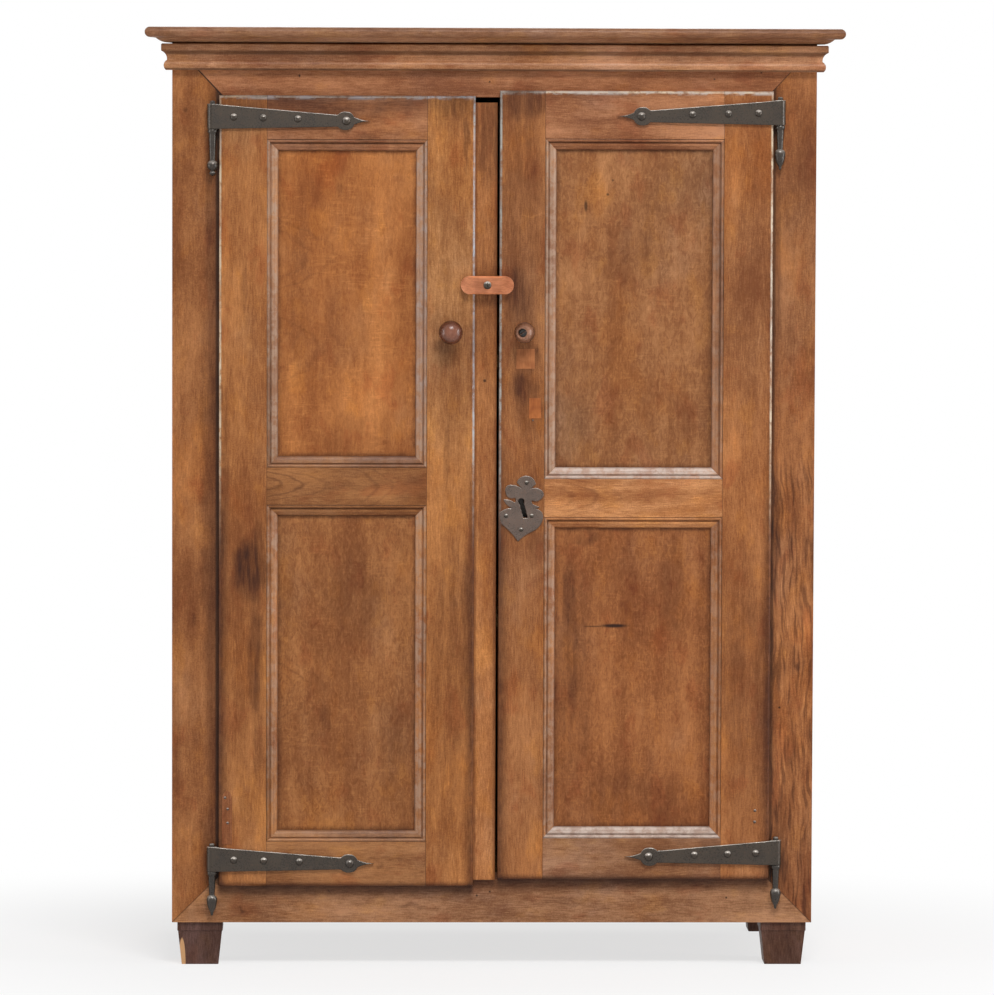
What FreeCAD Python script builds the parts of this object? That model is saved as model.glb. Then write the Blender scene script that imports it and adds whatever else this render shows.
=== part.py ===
import FreeCAD, Part
import math
import os

os.makedirs("parts", exist_ok=True)

# Two-door oak cupboard. Millimetres; X to the right, Y into the cupboard, Z up, floor at zero.

# Whole cupboard.
HEIGHT = 1404.0
CARCASS_WIDTH = 960.0
CARCASS_DEPTH = 460.0
FIT = 0.2
RUNNING_PLAY = 0.08

# Top board and cornice.
TOP_THICKNESS = 23.0
TOP_OVERHANG = 40.0
TOP_COVE = 7.5
CORNICE_HEIGHT = 39.5
CORNICE_REACH = 16.2
CORNICE_SHADOW = 1.7

# Face frame.
FRAME_THICKNESS = 30.0
STILE_WIDTH = 76.0
TOP_RAIL = 80.4
BOTTOM_RAIL = 75.5
FRAME_TENON = 50.0
TENON_THICKNESS = 10.0

# Feet.
FOOT_HEIGHT = 64.5
FOOT_TOP = 68.0
FOOT_BOTTOM = 55.0
FOOT_BLOCK = 13.0
FOOT_INSET = 8.0
FOOT_SETBACK = 4.0
SPIGOT_RADIUS = 8.0
SPIGOT_LENGTH = 30.0

# Sides and back.
SIDE_THICKNESS = 26.0
SIDE_TOP_RAIL_HEIGHT = 90.0
SIDE_MIDDLE_RAIL_HEIGHT = 70.0
SIDE_MIDDLE_HEIGHT = 675.0
SIDE_TENON = 15.0
SIDE_PANEL_THICKNESS = 10.0
SIDE_PANEL_ROOM = 1.0
POST_WIDTH = 48.0
POST_DEPTH = 54.0
BACK_RAIL = 80.0
BACK_RAIL_THICKNESS = 26.0
BACK_BOARD_THICKNESS = 18.0
BACK_BOARD_COUNT = 5
BACK_LAP = 12.0

# Floor, shelves and the cleats they lie on.
FLOOR_THICKNESS = 20.0
FLOOR_BOARD_COUNT = 3
SHELF_THICKNESS = 20.0
SHELF_SETBACK = 20.0
LOWER_SHELF_HEIGHT = 505.0
UPPER_SHELF_HEIGHT = 895.0
CLEAT_WIDTH = 20.0
CLEAT_HEIGHT = 25.0

# Doors: both are lipped over the face frame.
DOOR_THICKNESS = 30.0
DOOR_PROUD = 14.0
DOOR_PLAY = 3.0
DOOR_ROUND = 4.5
LIP_GAP = 0.4
DOOR_TENON = 48.0
TENON_INSET = 8.0
MEETING_GAP = 3.5
LEFT_LAP_SIDE = 6.0
LEFT_LAP_TOP = 2.2
LEFT_LAP_BOTTOM = 19.2
RIGHT_LAP_SIDE = 11.0
RIGHT_LAP_TOP = 10.4
RIGHT_LAP_BOTTOM = 8.8

# Door frames, seen from the front.
LEFT_STILES = 71.0
LEFT_TOP_RAIL = 65.0
LEFT_MIDDLE_RAIL = 55.5
LEFT_BOTTOM_RAIL = 67.0
LEFT_LOWER_PANEL = 505.5
RIGHT_MEETING_STILE = 67.5
RIGHT_HINGE_STILE = 73.0
RIGHT_TOP_RAIL = 71.0
RIGHT_MIDDLE_RAIL = 57.0
RIGHT_BOTTOM_RAIL = 62.0
RIGHT_LOWER_PANEL = 482.5

# Moulding worked on the door frames, and the panels in its groove.
MOULDING_WIDTH = 17.0
PANEL_DEPTH = 10.0
GROOVE_WIDTH = 8.0
GROOVE_DEPTH = 12.0
PANEL_ENTRY = 10.0
PANEL_FIELD = 13.5
PANEL_BEVEL = 30.0

# Strip along the closing edge of the left door.
STRIP_EDGE = -29.0
STRIP_WIDTH = 33.0
STRIP_RECESS = 5.0
STRIP_TOP_GAP = 7.6
STRIP_LAP = 10.0
STRIP_TONGUE = 8.0
STRIP_ROUND = 2.0

# Strap hinges.
STRAP_THICKNESS = 4.0
STRAP_ROOT = 37.0
STRAP_NECK = 17.5
STRAP_LEAF = 27.0
STRAP_RISE = 12.5
EYE_RADIUS = 8.0
PIN_RADIUS = 4.0
PIN_TOP = 5.0
PIN_OFFSET = 10.0
COLLAR_HEIGHT = 6.0
ACORN_HEIGHT = 31.0
ACORN_RADIUS = 8.1
BALL_RADIUS = 8.2
NECK_LENGTH = 30.0
LONG_NECK_LENGTH = 40.0
SPIKE_WIDTH = 8.0
SPIKE_DEPTH = 22.0
SPIKE_TIP = 2.0
SPIKE_DROP = 1.0
UPPER_STRAP_DROP = 50.0
LOWER_STRAP_RISE = 22.0
UPPER_LEFT_REACH = 235.0
UPPER_RIGHT_REACH = 243.0
LOWER_LEFT_REACH = 242.0
LOWER_RIGHT_REACH = 227.0
STRAP_NAIL_SHARES = (0.135, 0.32, 0.54)
LEAF_NAIL_BACK = 36.0

# Nails.
NAIL_HEAD_RADIUS = 5.4
NAIL_HEAD_HEIGHT = 3.4
NAIL_RADIUS = 2.0
NAIL_LENGTH = 20.0
SMALL_NAIL_SHARE = 0.6
LEAF_NAIL_SHARE = 1.18

# Knobs.
KNOB_HEIGHT = 952.0
KNOB_RADIUS = 18.0
KNOB_REACH = 42.0
KNOB_DOWEL_RADIUS = 6.0
KNOB_DOWEL_LENGTH = 20.0
LEFT_KNOB_IN = 36.5
RIGHT_KNOB_IN = 42.5
RIGHT_KNOB_RADIUS = 15.5
RIGHT_KNOB_REACH = 35.0
RIGHT_KNOB_HOLLOW = 6.6
RIGHT_KNOB_LEAN = 15.0

# Turn button on the strip.
BUTTON_HEIGHT = 1022.0
BUTTON_LENGTH = 79.0
BUTTON_WIDTH = 27.0
BUTTON_THICKNESS = 12.0
BUTTON_BEVEL = 2.4
BUTTON_FLAT = 40.0
BUTTON_END = 7.0
BUTTON_GAP = 1.0
BOSS_RADIUS = 11.0
SCREW_RADIUS = 2.5
SCREW_HEAD_RADIUS = 6.0
SCREW_HEAD_HEIGHT = 3.2
SCREW_SLOT_WIDTH = 1.4

# Lock of the right door.
KEYHOLE_IN = 33.5
KEYHOLE_DROP = 5.2
KEYHOLE_RADIUS = 4.8
KEY_SLOT_LENGTH = 25.0
KEY_SLOT_WIDTH = 7.0
KEY_SLOT_LEAN = 6.6
PLATE_WIDTH = 66.0
PLATE_HEIGHT = 93.6
PLATE_THICKNESS = 2.0
LOCK_WIDTH = 74.0
LOCK_HEIGHT = 90.0
LOCK_DEPTH = 22.0
LOCK_WALL = 2.5
LOCK_EAR = 13.0
LOCK_SETBACK = 2.0
BOLT_HEIGHT = 14.0
BOLT_THICKNESS = 10.0
BOLT_LENGTH = 62.0
BOLT_ABOVE_KEY = 8.0
BOLT_CLEARANCE = 2.0

# Levels and planes derived from the sizes above.
FRONT_REACH = DOOR_PROUD + KNOB_REACH
FACE_Y = (FRONT_REACH - CARCASS_DEPTH) / 2.0
FRAME_BACK_Y = FACE_Y + FRAME_THICKNESS
REAR_Y = FACE_Y + CARCASS_DEPTH
POST_BACK_Y = REAR_Y - BACK_BOARD_THICKNESS
POST_FRONT_Y = POST_BACK_Y - POST_DEPTH
BACK_RAIL_Y = POST_BACK_Y - BACK_RAIL_THICKNESS
DOOR_FACE_Y = FACE_Y - DOOR_PROUD
DOOR_BACK_Y = DOOR_FACE_Y + DOOR_THICKNESS
OUTER_X = CARCASS_WIDTH / 2.0
OPEN_X = OUTER_X - STILE_WIDTH
SIDE_IN_X = OUTER_X - SIDE_THICKNESS
POST_IN_X = OUTER_X - POST_WIDTH
CARCASS_TOP = HEIGHT - TOP_THICKNESS
OPEN_LOW = FOOT_HEIGHT + BOTTOM_RAIL
OPEN_HIGH = CARCASS_TOP - TOP_RAIL
PIN_Y = DOOR_FACE_Y - STRAP_THICKNESS + EYE_RADIUS
LEFT_EDGE = -OPEN_X - LEFT_LAP_SIDE
RIGHT_EDGE = OPEN_X + RIGHT_LAP_SIDE
RIGHT_START = STRIP_EDGE + STRIP_WIDTH + MEETING_GAP
LEFT_LOW = OPEN_LOW - LEFT_LAP_BOTTOM
LEFT_HIGH = OPEN_HIGH + LEFT_LAP_TOP
RIGHT_LOW = OPEN_LOW - RIGHT_LAP_BOTTOM
RIGHT_HIGH = OPEN_HIGH + RIGHT_LAP_TOP
KEY_X = RIGHT_START + KEYHOLE_IN
KEY_Z = RIGHT_LOW + RIGHT_BOTTOM_RAIL + RIGHT_LOWER_PANEL + RIGHT_MIDDLE_RAIL / 2.0 - KEYHOLE_DROP

nodes = {}


def vec(x, y, z):
    return FreeCAD.Vector(x, y, z)


def box(x0, x1, y0, y1, z0, z1):
    xa, xb = sorted((x0, x1))
    ya, yb = sorted((y0, y1))
    za, zb = sorted((z0, z1))
    return Part.makeBox(xb - xa, yb - ya, zb - za, vec(xa, ya, za))


def outline_face(items, spot):
    # A face bounded by lines (u, v) and three-point arcs (mid u, mid v, end u, end v).
    here = items[0]
    edges = []
    for item in list(items[1:]) + [items[0]]:
        end = item[-2:]
        if len(item) == 4:
            edges.append(Part.Arc(spot(*here), spot(*item[:2]), spot(*end)).toShape())
        elif end != here:
            edges.append(Part.makeLine(spot(*here), spot(*end)))
        here = end
    return Part.Face(Part.Wire(edges))


def push(items, spot, run):
    return outline_face(items, spot).extrude(run)


def push_y(items, y0, y1):
    return push(items, lambda x, z: vec(x, y0, z), vec(0, y1 - y0, 0))


def push_z(items, z0, z1):
    return push(items, lambda x, y: vec(x, y, z0), vec(0, 0, z1 - z0))


def turned(items, centre, axis):
    # A solid of revolution; items give radius and distance along the axis.
    side = vec(1, 0, 0)
    solid = outline_face(items, lambda r, t: centre + side * r + axis * t).revolve(centre, axis, 360)
    if solid.Volume < 0.0:
        solid.reverse()
    return solid


def dome(radius, height, start):
    # The arc of a ball-shaped cap, from its rim to the axis.
    ball = (radius ** 2 + height ** 2) / (2.0 * height)
    half = math.asin(radius / ball) / 2.0
    return (ball * math.sin(half), start + height - ball + ball * math.cos(half), 0.0, start + height)


def rod_y(x, z, radius, y0, y1):
    return Part.makeCylinder(radius, y1 - y0, vec(x, y0, z), vec(0, 1, 0))


def one(shape):
    # The refined solid of a shape that is a single piece.
    return shape.removeSplitter().Solids[0]


# Face frame: four members with mitred corners and a tenon inside each corner.

def frame_tenon(side, low, high, grow):
    middle = (FACE_Y + FRAME_BACK_Y) / 2.0
    half = TENON_THICKNESS / 2.0 + grow
    inner = side * (OPEN_X - TENON_THICKNESS)
    outer = side * (OPEN_X + FRAME_TENON + grow)
    return box(inner, outer, middle - half, middle + half, low - grow, high + grow)


TOP_TENON = (OPEN_HIGH + 0.18 * TOP_RAIL, OPEN_HIGH + 0.6 * TOP_RAIL)
BOTTOM_TENON = (OPEN_LOW - 0.7 * BOTTOM_RAIL, OPEN_LOW - 0.27 * BOTTOM_RAIL)


def front_stile(side):
    shape = push_y([(side * OUTER_X, FOOT_HEIGHT), (side * OPEN_X, OPEN_LOW),
                    (side * OPEN_X, OPEN_HIGH), (side * OUTER_X, CARCASS_TOP)], FACE_Y, FRAME_BACK_Y)
    shape = shape.cut(frame_tenon(side, TOP_TENON[0], TOP_TENON[1], FIT))
    return shape.cut(frame_tenon(side, BOTTOM_TENON[0], BOTTOM_TENON[1], FIT))


def front_rail(outer_level, inner_level, tenon):
    shape = push_y([(-OUTER_X, outer_level), (OUTER_X, outer_level),
                    (OPEN_X, inner_level), (-OPEN_X, inner_level)], FACE_Y, FRAME_BACK_Y)
    for side in (-1, 1):
        shape = shape.fuse(frame_tenon(side, tenon[0], tenon[1], 0.0))
    return shape


nodes["front_left_stile"] = front_stile(-1)
nodes["front_right_stile"] = front_stile(1)
nodes["front_top_rail"] = front_rail(CARCASS_TOP, OPEN_HIGH, TOP_TENON)
nodes["front_bottom_rail"] = front_rail(FOOT_HEIGHT, OPEN_LOW, BOTTOM_TENON)


# Sides: three rails and two panels between the front stile and a rear post.

SIDE_RAILS = {"bottom": (FOOT_HEIGHT, OPEN_LOW),
              "middle": (SIDE_MIDDLE_HEIGHT, SIDE_MIDDLE_HEIGHT + SIDE_MIDDLE_RAIL_HEIGHT),
              "top": (CARCASS_TOP - SIDE_TOP_RAIL_HEIGHT, CARCASS_TOP)}
SIDE_PANELS = {"lower": (SIDE_RAILS["bottom"][1], SIDE_RAILS["middle"][0]),
               "upper": (SIDE_RAILS["middle"][1], SIDE_RAILS["top"][0])}
SIDE_MID_X = OUTER_X - SIDE_THICKNESS / 2.0


def side_tenon(side, low, high, grow):
    half = SIDE_PANEL_THICKNESS / 2.0 + grow
    inset = (high - low) * 0.34
    return box(side * (SIDE_MID_X - half), side * (SIDE_MID_X + half),
               FRAME_BACK_Y - SIDE_TENON - grow, POST_FRONT_Y + SIDE_TENON + grow,
               low + inset - grow, high - inset + grow)


def side_panel(side, low, high, grow, room):
    half = SIDE_PANEL_THICKNESS / 2.0 - FIT + grow
    entry = PANEL_ENTRY + room
    return box(side * (SIDE_MID_X - half), side * (SIDE_MID_X + half),
               FRAME_BACK_Y - entry, POST_FRONT_Y + entry, low - entry, high + entry)


def back_tenon(side, low, high, grow):
    middle = (BACK_RAIL_Y + POST_BACK_Y) / 2.0
    half = TENON_THICKNESS / 2.0 + grow
    inset = (high - low) * 0.2
    return box(side * (POST_IN_X - TENON_THICKNESS), side * (POST_IN_X + 0.5 * POST_WIDTH + grow),
               middle - half, middle + half, low + inset - grow, high - inset + grow)


BACK_RAILS = ((FOOT_HEIGHT, OPEN_LOW), (CARCASS_TOP - BACK_RAIL, CARCASS_TOP))

for name, side in (("left", -1), ("right", 1)):
    stile = nodes["front_" + name + "_stile"]
    post = box(side * POST_IN_X, side * OUTER_X, POST_FRONT_Y, POST_BACK_Y, FOOT_HEIGHT, CARCASS_TOP)
    rooms = [side_panel(side, low, high, FIT, SIDE_PANEL_ROOM) for low, high in SIDE_PANELS.values()]
    for level, (low, high) in SIDE_RAILS.items():
        rail = box(side * SIDE_IN_X, side * OUTER_X, FRAME_BACK_Y, POST_FRONT_Y, low, high)
        rail = rail.fuse(side_tenon(side, low, high, 0.0))
        for room in rooms:
            rail = rail.cut(room)
        nodes[name + "_side_" + level + "_rail"] = rail
        stile = stile.cut(side_tenon(side, low, high, FIT))
        post = post.cut(side_tenon(side, low, high, FIT))
    for level, (low, high) in SIDE_PANELS.items():
        nodes[name + "_side_" + level + "_panel"] = side_panel(side, low, high, 0.0, 0.0)
    for room in rooms:
        stile = stile.cut(room)
        post = post.cut(room)
    for low, high in BACK_RAILS:
        post = post.cut(back_tenon(side, low, high, FIT))
    nodes["front_" + name + "_stile"] = stile
    nodes["rear_" + name + "_post"] = post

back_rails = []
for low, high in BACK_RAILS:
    rail = box(-POST_IN_X, POST_IN_X, BACK_RAIL_Y, POST_BACK_Y, low, high)
    for side in (-1, 1):
        rail = rail.fuse(back_tenon(side, low, high, 0.0))
    back_rails.append(one(rail))
nodes["back_rails"] = Part.makeCompound(back_rails)

board_width = CARCASS_WIDTH / BACK_BOARD_COUNT
board_middle_y = (POST_BACK_Y + REAR_Y) / 2.0
back_boards = []
for index in range(BACK_BOARD_COUNT):
    start = -OUTER_X + index * board_width
    end = start + board_width
    board = box(start + FIT, end - FIT, POST_BACK_Y, REAR_Y, FOOT_HEIGHT, CARCASS_TOP)
    if index > 0:
        board = board.cut(box(start, start + BACK_LAP + FIT, board_middle_y - FIT, REAR_Y,
                              FOOT_HEIGHT, CARCASS_TOP))
    if index < BACK_BOARD_COUNT - 1:
        board = board.fuse(box(end - BACK_LAP, end + BACK_LAP, board_middle_y, REAR_Y,
                               FOOT_HEIGHT, CARCASS_TOP))
    back_boards.append(one(board))
nodes["back_boards"] = Part.makeCompound(back_boards)


# Floor, shelves and cleats.

def cleat(side, top):
    return box(side * (SIDE_IN_X - CLEAT_WIDTH), side * SIDE_IN_X, FRAME_BACK_Y, POST_FRONT_Y,
               top - CLEAT_HEIGHT, top)


def clear_of_posts(shape):
    for side in (-1, 1):
        shape = shape.cut(box(side * (POST_IN_X - FIT), side * OUTER_X, POST_FRONT_Y - FIT, REAR_Y,
                              0.0, HEIGHT))
    return shape


FLOOR_LOW = OPEN_LOW - FLOOR_THICKNESS
floor_depth = (BACK_RAIL_Y - FRAME_BACK_Y) / FLOOR_BOARD_COUNT
floor_boards = []
for index in range(FLOOR_BOARD_COUNT):
    near = FRAME_BACK_Y + index * floor_depth
    board = box(-SIDE_IN_X + FIT, SIDE_IN_X - FIT, near, near + floor_depth - FIT, FLOOR_LOW, OPEN_LOW)
    floor_boards.append(one(clear_of_posts(board)))
nodes["floor_boards"] = Part.makeCompound(floor_boards)

cleats = [cleat(side, FLOOR_LOW) for side in (-1, 1)]
for name, low in (("lower_shelf", LOWER_SHELF_HEIGHT), ("upper_shelf", UPPER_SHELF_HEIGHT)):
    shelf = box(-SIDE_IN_X + FIT, SIDE_IN_X - FIT, FRAME_BACK_Y + SHELF_SETBACK, POST_BACK_Y,
                low, low + SHELF_THICKNESS)
    nodes[name] = clear_of_posts(shelf)
    cleats += [cleat(side, low) for side in (-1, 1)]
nodes["shelf_cleats"] = Part.makeCompound(cleats)


# Top board: rounded edge above a small cove, on the front and both ends.

def top_edge(reach, back):
    flat = TOP_OVERHANG * 0.26
    step = TOP_OVERHANG * 0.62
    round_in = reach - (TOP_THICKNESS - TOP_COVE) / 2.0
    inner = reach - TOP_OVERHANG
    middle = (TOP_THICKNESS + TOP_COVE) / 2.0
    return [(back, 0.0), (inner + flat, 0.0),
            (inner + 0.55 * step + 0.45 * flat, 0.35 * TOP_COVE, inner + step, TOP_COVE),
            (round_in, TOP_COVE), (reach, middle, round_in, TOP_THICKNESS), (back, TOP_THICKNESS)]


front_edge = top_edge(TOP_OVERHANG, -CARCASS_DEPTH)
long_top = push(front_edge, lambda p, h: vec(-OUTER_X - TOP_OVERHANG, FACE_Y - p, CARCASS_TOP + h),
                vec(2.0 * (OUTER_X + TOP_OVERHANG), 0, 0))
end_edge = top_edge(OUTER_X + TOP_OVERHANG, 0.0)
top_board = None
for side in (-1, 1):
    half = push(end_edge, lambda p, h: vec(side * p, FACE_Y - TOP_OVERHANG, CARCASS_TOP + h),
                vec(0, CARCASS_DEPTH + TOP_OVERHANG, 0))
    top_board = half if top_board is None else top_board.fuse(half)
nodes["top_board"] = one(long_top.common(one(top_board)))


# Cornice: one moulding along the front, returned along both sides with mitres.

def cornice_profile():
    p = CORNICE_REACH
    h = CORNICE_HEIGHT
    return [(0.0, 0.0), (0.56 * p, 0.0), (0.77 * p, 0.18 * h, 0.56 * p, 0.36 * h), (0.48 * p, 0.38 * h),
            (0.56 * p, 0.57 * h, 0.87 * p, 0.7 * h), (p, 0.73 * h), (p, 0.94 * h),
            (0.96 * p, 0.985 * h, 0.87 * p, h), (0.0, h)]


CORNICE_LOW = CARCASS_TOP - CORNICE_SHADOW - CORNICE_HEIGHT
far = 2.0 * CORNICE_REACH
moulding = push(cornice_profile(), lambda p, h: vec(-OUTER_X - far, FACE_Y - p, CORNICE_LOW + h),
                vec(2.0 * (OUTER_X + far), 0, 0))
nodes["cornice_front"] = moulding.common(push_z(
    [(-OUTER_X, FACE_Y), (OUTER_X, FACE_Y), (OUTER_X + far, FACE_Y - far), (-OUTER_X - far, FACE_Y - far)],
    0.0, HEIGHT))
for name, side in (("left", -1), ("right", 1)):
    moulding = push(cornice_profile(), lambda p, h: vec(side * (OUTER_X + p), FACE_Y - far, CORNICE_LOW + h),
                    vec(0, CARCASS_DEPTH + far, 0))
    nodes["cornice_" + name] = moulding.common(push_z(
        [(side * OUTER_X, FACE_Y), (side * (OUTER_X + far), FACE_Y - far),
         (side * (OUTER_X + far), REAR_Y), (side * OUTER_X, REAR_Y)], 0.0, HEIGHT))


# Feet: a short block above a taper, with a spigot up into the frame.

FOOT_X = OUTER_X - FOOT_INSET - FOOT_TOP / 2.0
FRONT_FOOT_Y = FACE_Y + FOOT_SETBACK + FOOT_TOP / 2.0
REAR_FOOT_Y = POST_BACK_Y - FOOT_TOP / 2.0
FRONT_SPIGOT = (FOOT_X, (FACE_Y + FRAME_BACK_Y) / 2.0)
REAR_SPIGOT = ((POST_IN_X + SIDE_MID_X) / 2.0, (POST_FRONT_Y + BACK_RAIL_Y) / 2.0)


def square(x, y, size, z):
    half = size / 2.0
    return Part.makePolygon([vec(x - half, y - half, z), vec(x + half, y - half, z),
                             vec(x + half, y + half, z), vec(x - half, y + half, z), vec(x - half, y - half, z)])


def spigot(x, y, grow):
    return Part.makeCylinder(SPIGOT_RADIUS + grow, SPIGOT_LENGTH + FOOT_BLOCK / 2.0 + grow,
                             vec(x, y, FOOT_HEIGHT - FOOT_BLOCK / 2.0))


def foot(side, y, pin):
    x = side * FOOT_X
    neck = FOOT_HEIGHT - FOOT_BLOCK
    taper = Part.makeLoft([square(x, y, FOOT_BOTTOM, 0.0), square(x, y, 0.97 * FOOT_TOP, neck)], True)
    half = FOOT_TOP / 2.0
    block = box(x - half, x + half, y - half, y + half, neck, FOOT_HEIGHT)
    return one(taper.fuse(block).fuse(spigot(side * pin[0], pin[1], 0.0)))


nodes["front_feet"] = Part.makeCompound([foot(side, FRONT_FOOT_Y, FRONT_SPIGOT) for side in (-1, 1)])
nodes["rear_feet"] = Part.makeCompound([foot(side, REAR_FOOT_Y, REAR_SPIGOT) for side in (-1, 1)])
for name, side in (("left", -1), ("right", 1)):
    nodes["front_bottom_rail"] = nodes["front_bottom_rail"].cut(
        spigot(side * FRONT_SPIGOT[0], FRONT_SPIGOT[1], FIT))
    nodes["rear_" + name + "_post"] = nodes["rear_" + name + "_post"].cut(
        spigot(side * REAR_SPIGOT[0], REAR_SPIGOT[1], FIT))


# Doors: stiles and rails with a mitred moulding, tenons, and panels floating in the groove.

def moulding_profile():
    w = MOULDING_WIDTH
    d = PANEL_DEPTH
    floor = w - GROOVE_DEPTH
    return [(0.0, 0.0), (0.02 * w, 0.18 * d), (0.14 * w, 0.04 * d, 0.26 * w, 0.18 * d), (0.3 * w, 0.5 * d),
            (0.38 * w, 0.5 * d), (0.41 * w, 0.34 * d), (0.76 * w, 0.45 * d, w, 0.8 * d), (w, d), (floor, d),
            (floor, d + GROOVE_WIDTH), (w, d + GROOVE_WIDTH), (w, DOOR_THICKNESS), (0.0, DOOR_THICKNESS)]


def moulded_edges(xa, xb, za, zb):
    # The four mitred moulding strips around one panel opening.
    w = MOULDING_WIDTH
    face = DOOR_FACE_Y
    profile = moulding_profile()
    upright = vec(0, 0, zb - za)
    level = vec(xb - xa, 0, 0)
    runs = {"left": (lambda u, d: vec(xa + u, face + d, za), upright,
                     [(xa, za), (xa + w, za + w), (xa + w, zb - w), (xa, zb)]),
            "right": (lambda u, d: vec(xb - u, face + d, za), upright,
                      [(xb, za), (xb - w, za + w), (xb - w, zb - w), (xb, zb)]),
            "bottom": (lambda u, d: vec(xa, face + d, za + u), level,
                       [(xa, za), (xa + w, za + w), (xb - w, za + w), (xb, za)]),
            "top": (lambda u, d: vec(xa, face + d, zb - u), level,
                    [(xa, zb), (xa + w, zb - w), (xb - w, zb - w), (xb, zb)])}
    strips = {}
    for name, (spot, run, outline) in runs.items():
        strips[name] = push(profile, spot, run).common(push_y(outline, face, face + DOOR_THICKNESS))
    return strips


def door_panel(xa, xb, za, zb):
    # Flat in front, bevelled behind so that its edge enters the groove.
    front = DOOR_FACE_Y + PANEL_DEPTH + FIT / 2.0
    edge = DOOR_FACE_Y + PANEL_DEPTH + GROOVE_WIDTH - FIT / 2.0
    field = DOOR_FACE_Y + PANEL_DEPTH + PANEL_FIELD
    reach = MOULDING_WIDTH - PANEL_ENTRY

    def section(a, b):
        return [(a, front), (b, front), (b, edge), (b - PANEL_ENTRY, edge),
                (b - PANEL_ENTRY - PANEL_BEVEL, field), (a + PANEL_ENTRY + PANEL_BEVEL, field),
                (a + PANEL_ENTRY, edge), (a, edge)]

    across = push_z(section(xa + reach, xb - reach), za + reach, zb - reach)
    along = push(section(za + reach, zb - reach), lambda z, y: vec(xa, y, z), vec(xb - xa, 0, 0))
    return one(across.common(along))


def door_envelope(x0, x1, z0, z1, hinge_side):
    # The lip in front of the face frame with rounded edges, and the body inside the opening.
    lip = box(x0, x1, DOOR_FACE_Y, FACE_Y - LIP_GAP, z0, z1)
    rim = [edge for edge in lip.Edges if edge.BoundBox.YMax < DOOR_FACE_Y + 0.01]
    lip = lip.makeFillet(DOOR_ROUND, rim)
    inside = OPEN_X - DOOR_PLAY
    xa = -inside if hinge_side < 0 else x0
    xb = inside if hinge_side > 0 else x1
    body = box(xa, xb, FACE_Y - LIP_GAP, DOOR_BACK_Y, OPEN_LOW + DOOR_PLAY, OPEN_HIGH - DOOR_PLAY)
    return lip.fuse(body)


def build_door(prefix, hinge_side, x_range, z_range, stiles, rails, lower_panel):
    x0, x1 = x_range
    z0, z1 = z_range
    bottom, middle, top = rails
    xa = x0 + stiles[0]
    xb = x1 - stiles[1]
    low = z0 + bottom + lower_panel
    levels = {"bottom": (z0, z0 + bottom), "middle": (low, low + middle), "top": (z1 - top, z1)}
    lower = (xa, xb, levels["bottom"][1], levels["middle"][0])
    upper = (xa, xb, levels["middle"][1], levels["top"][0])
    low_edges = moulded_edges(*lower)
    up_edges = moulded_edges(*upper)
    envelope = door_envelope(x0, x1, z0, z1, hinge_side)

    def tenon(level, grow):
        low, high = levels[level]
        low = max(low, OPEN_LOW + DOOR_PLAY)
        high = min(high, OPEN_HIGH - DOOR_PLAY)
        near = DOOR_FACE_Y + PANEL_DEPTH
        return box(xa - DOOR_TENON - grow, xb + DOOR_TENON + grow, near - grow, near + GROOVE_WIDTH + grow,
                   low + TENON_INSET - grow, high - TENON_INSET + grow)

    def member(xs, zs, strips):
        shape = box(xs[0], xs[1], DOOR_FACE_Y, DOOR_BACK_Y, zs[0], zs[1])
        for strip in strips:
            shape = shape.fuse(strip)
        return shape.common(envelope)

    names = ("hinge_stile", "meeting_stile") if hinge_side < 0 else ("meeting_stile", "hinge_stile")
    spans = {names[0]: ((x0, xa), "left"), names[1]: ((xb, x1), "right")}
    for name, (xs, edge) in spans.items():
        shape = member(xs, (z0, z1), (low_edges[edge], up_edges[edge]))
        for level in levels:
            shape = shape.cut(tenon(level, FIT))
        nodes[prefix + "_" + name] = shape
    strips = {"bottom": (low_edges["bottom"],), "middle": (low_edges["top"], up_edges["bottom"]),
              "top": (up_edges["top"],)}
    for level, zs in levels.items():
        nodes[prefix + "_" + level + "_rail"] = member((xa, xb), zs, strips[level]).fuse(tenon(level, 0.0))
    nodes[prefix + "_lower_panel"] = door_panel(*lower)
    nodes[prefix + "_upper_panel"] = door_panel(*upper)


build_door("left", -1, (LEFT_EDGE, STRIP_EDGE), (LEFT_LOW, LEFT_HIGH), (LEFT_STILES, LEFT_STILES),
           (LEFT_BOTTOM_RAIL, LEFT_MIDDLE_RAIL, LEFT_TOP_RAIL), LEFT_LOWER_PANEL)
build_door("right", 1, (RIGHT_START, RIGHT_EDGE), (RIGHT_LOW, RIGHT_HIGH),
           (RIGHT_MEETING_STILE, RIGHT_HINGE_STILE),
           (RIGHT_BOTTOM_RAIL, RIGHT_MIDDLE_RAIL, RIGHT_TOP_RAIL), RIGHT_LOWER_PANEL)


# Strip on the closing edge of the left door, held by a tongue.

STRIP_FRONT_Y = DOOR_FACE_Y + STRIP_RECESS
STRIP_END = STRIP_EDGE + STRIP_WIDTH
STRIP_LOW = OPEN_LOW - STRIP_LAP
STRIP_HIGH = OPEN_HIGH - STRIP_TOP_GAP


def strip_tongue(grow):
    near = DOOR_FACE_Y + PANEL_DEPTH
    return box(STRIP_EDGE - STRIP_TONGUE - grow, STRIP_EDGE + STRIP_TONGUE, near - grow,
               near + GROOVE_WIDTH + grow, OPEN_LOW + 2.0 * STRIP_TONGUE - grow,
               STRIP_HIGH - 2.0 * STRIP_TONGUE + grow)


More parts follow.
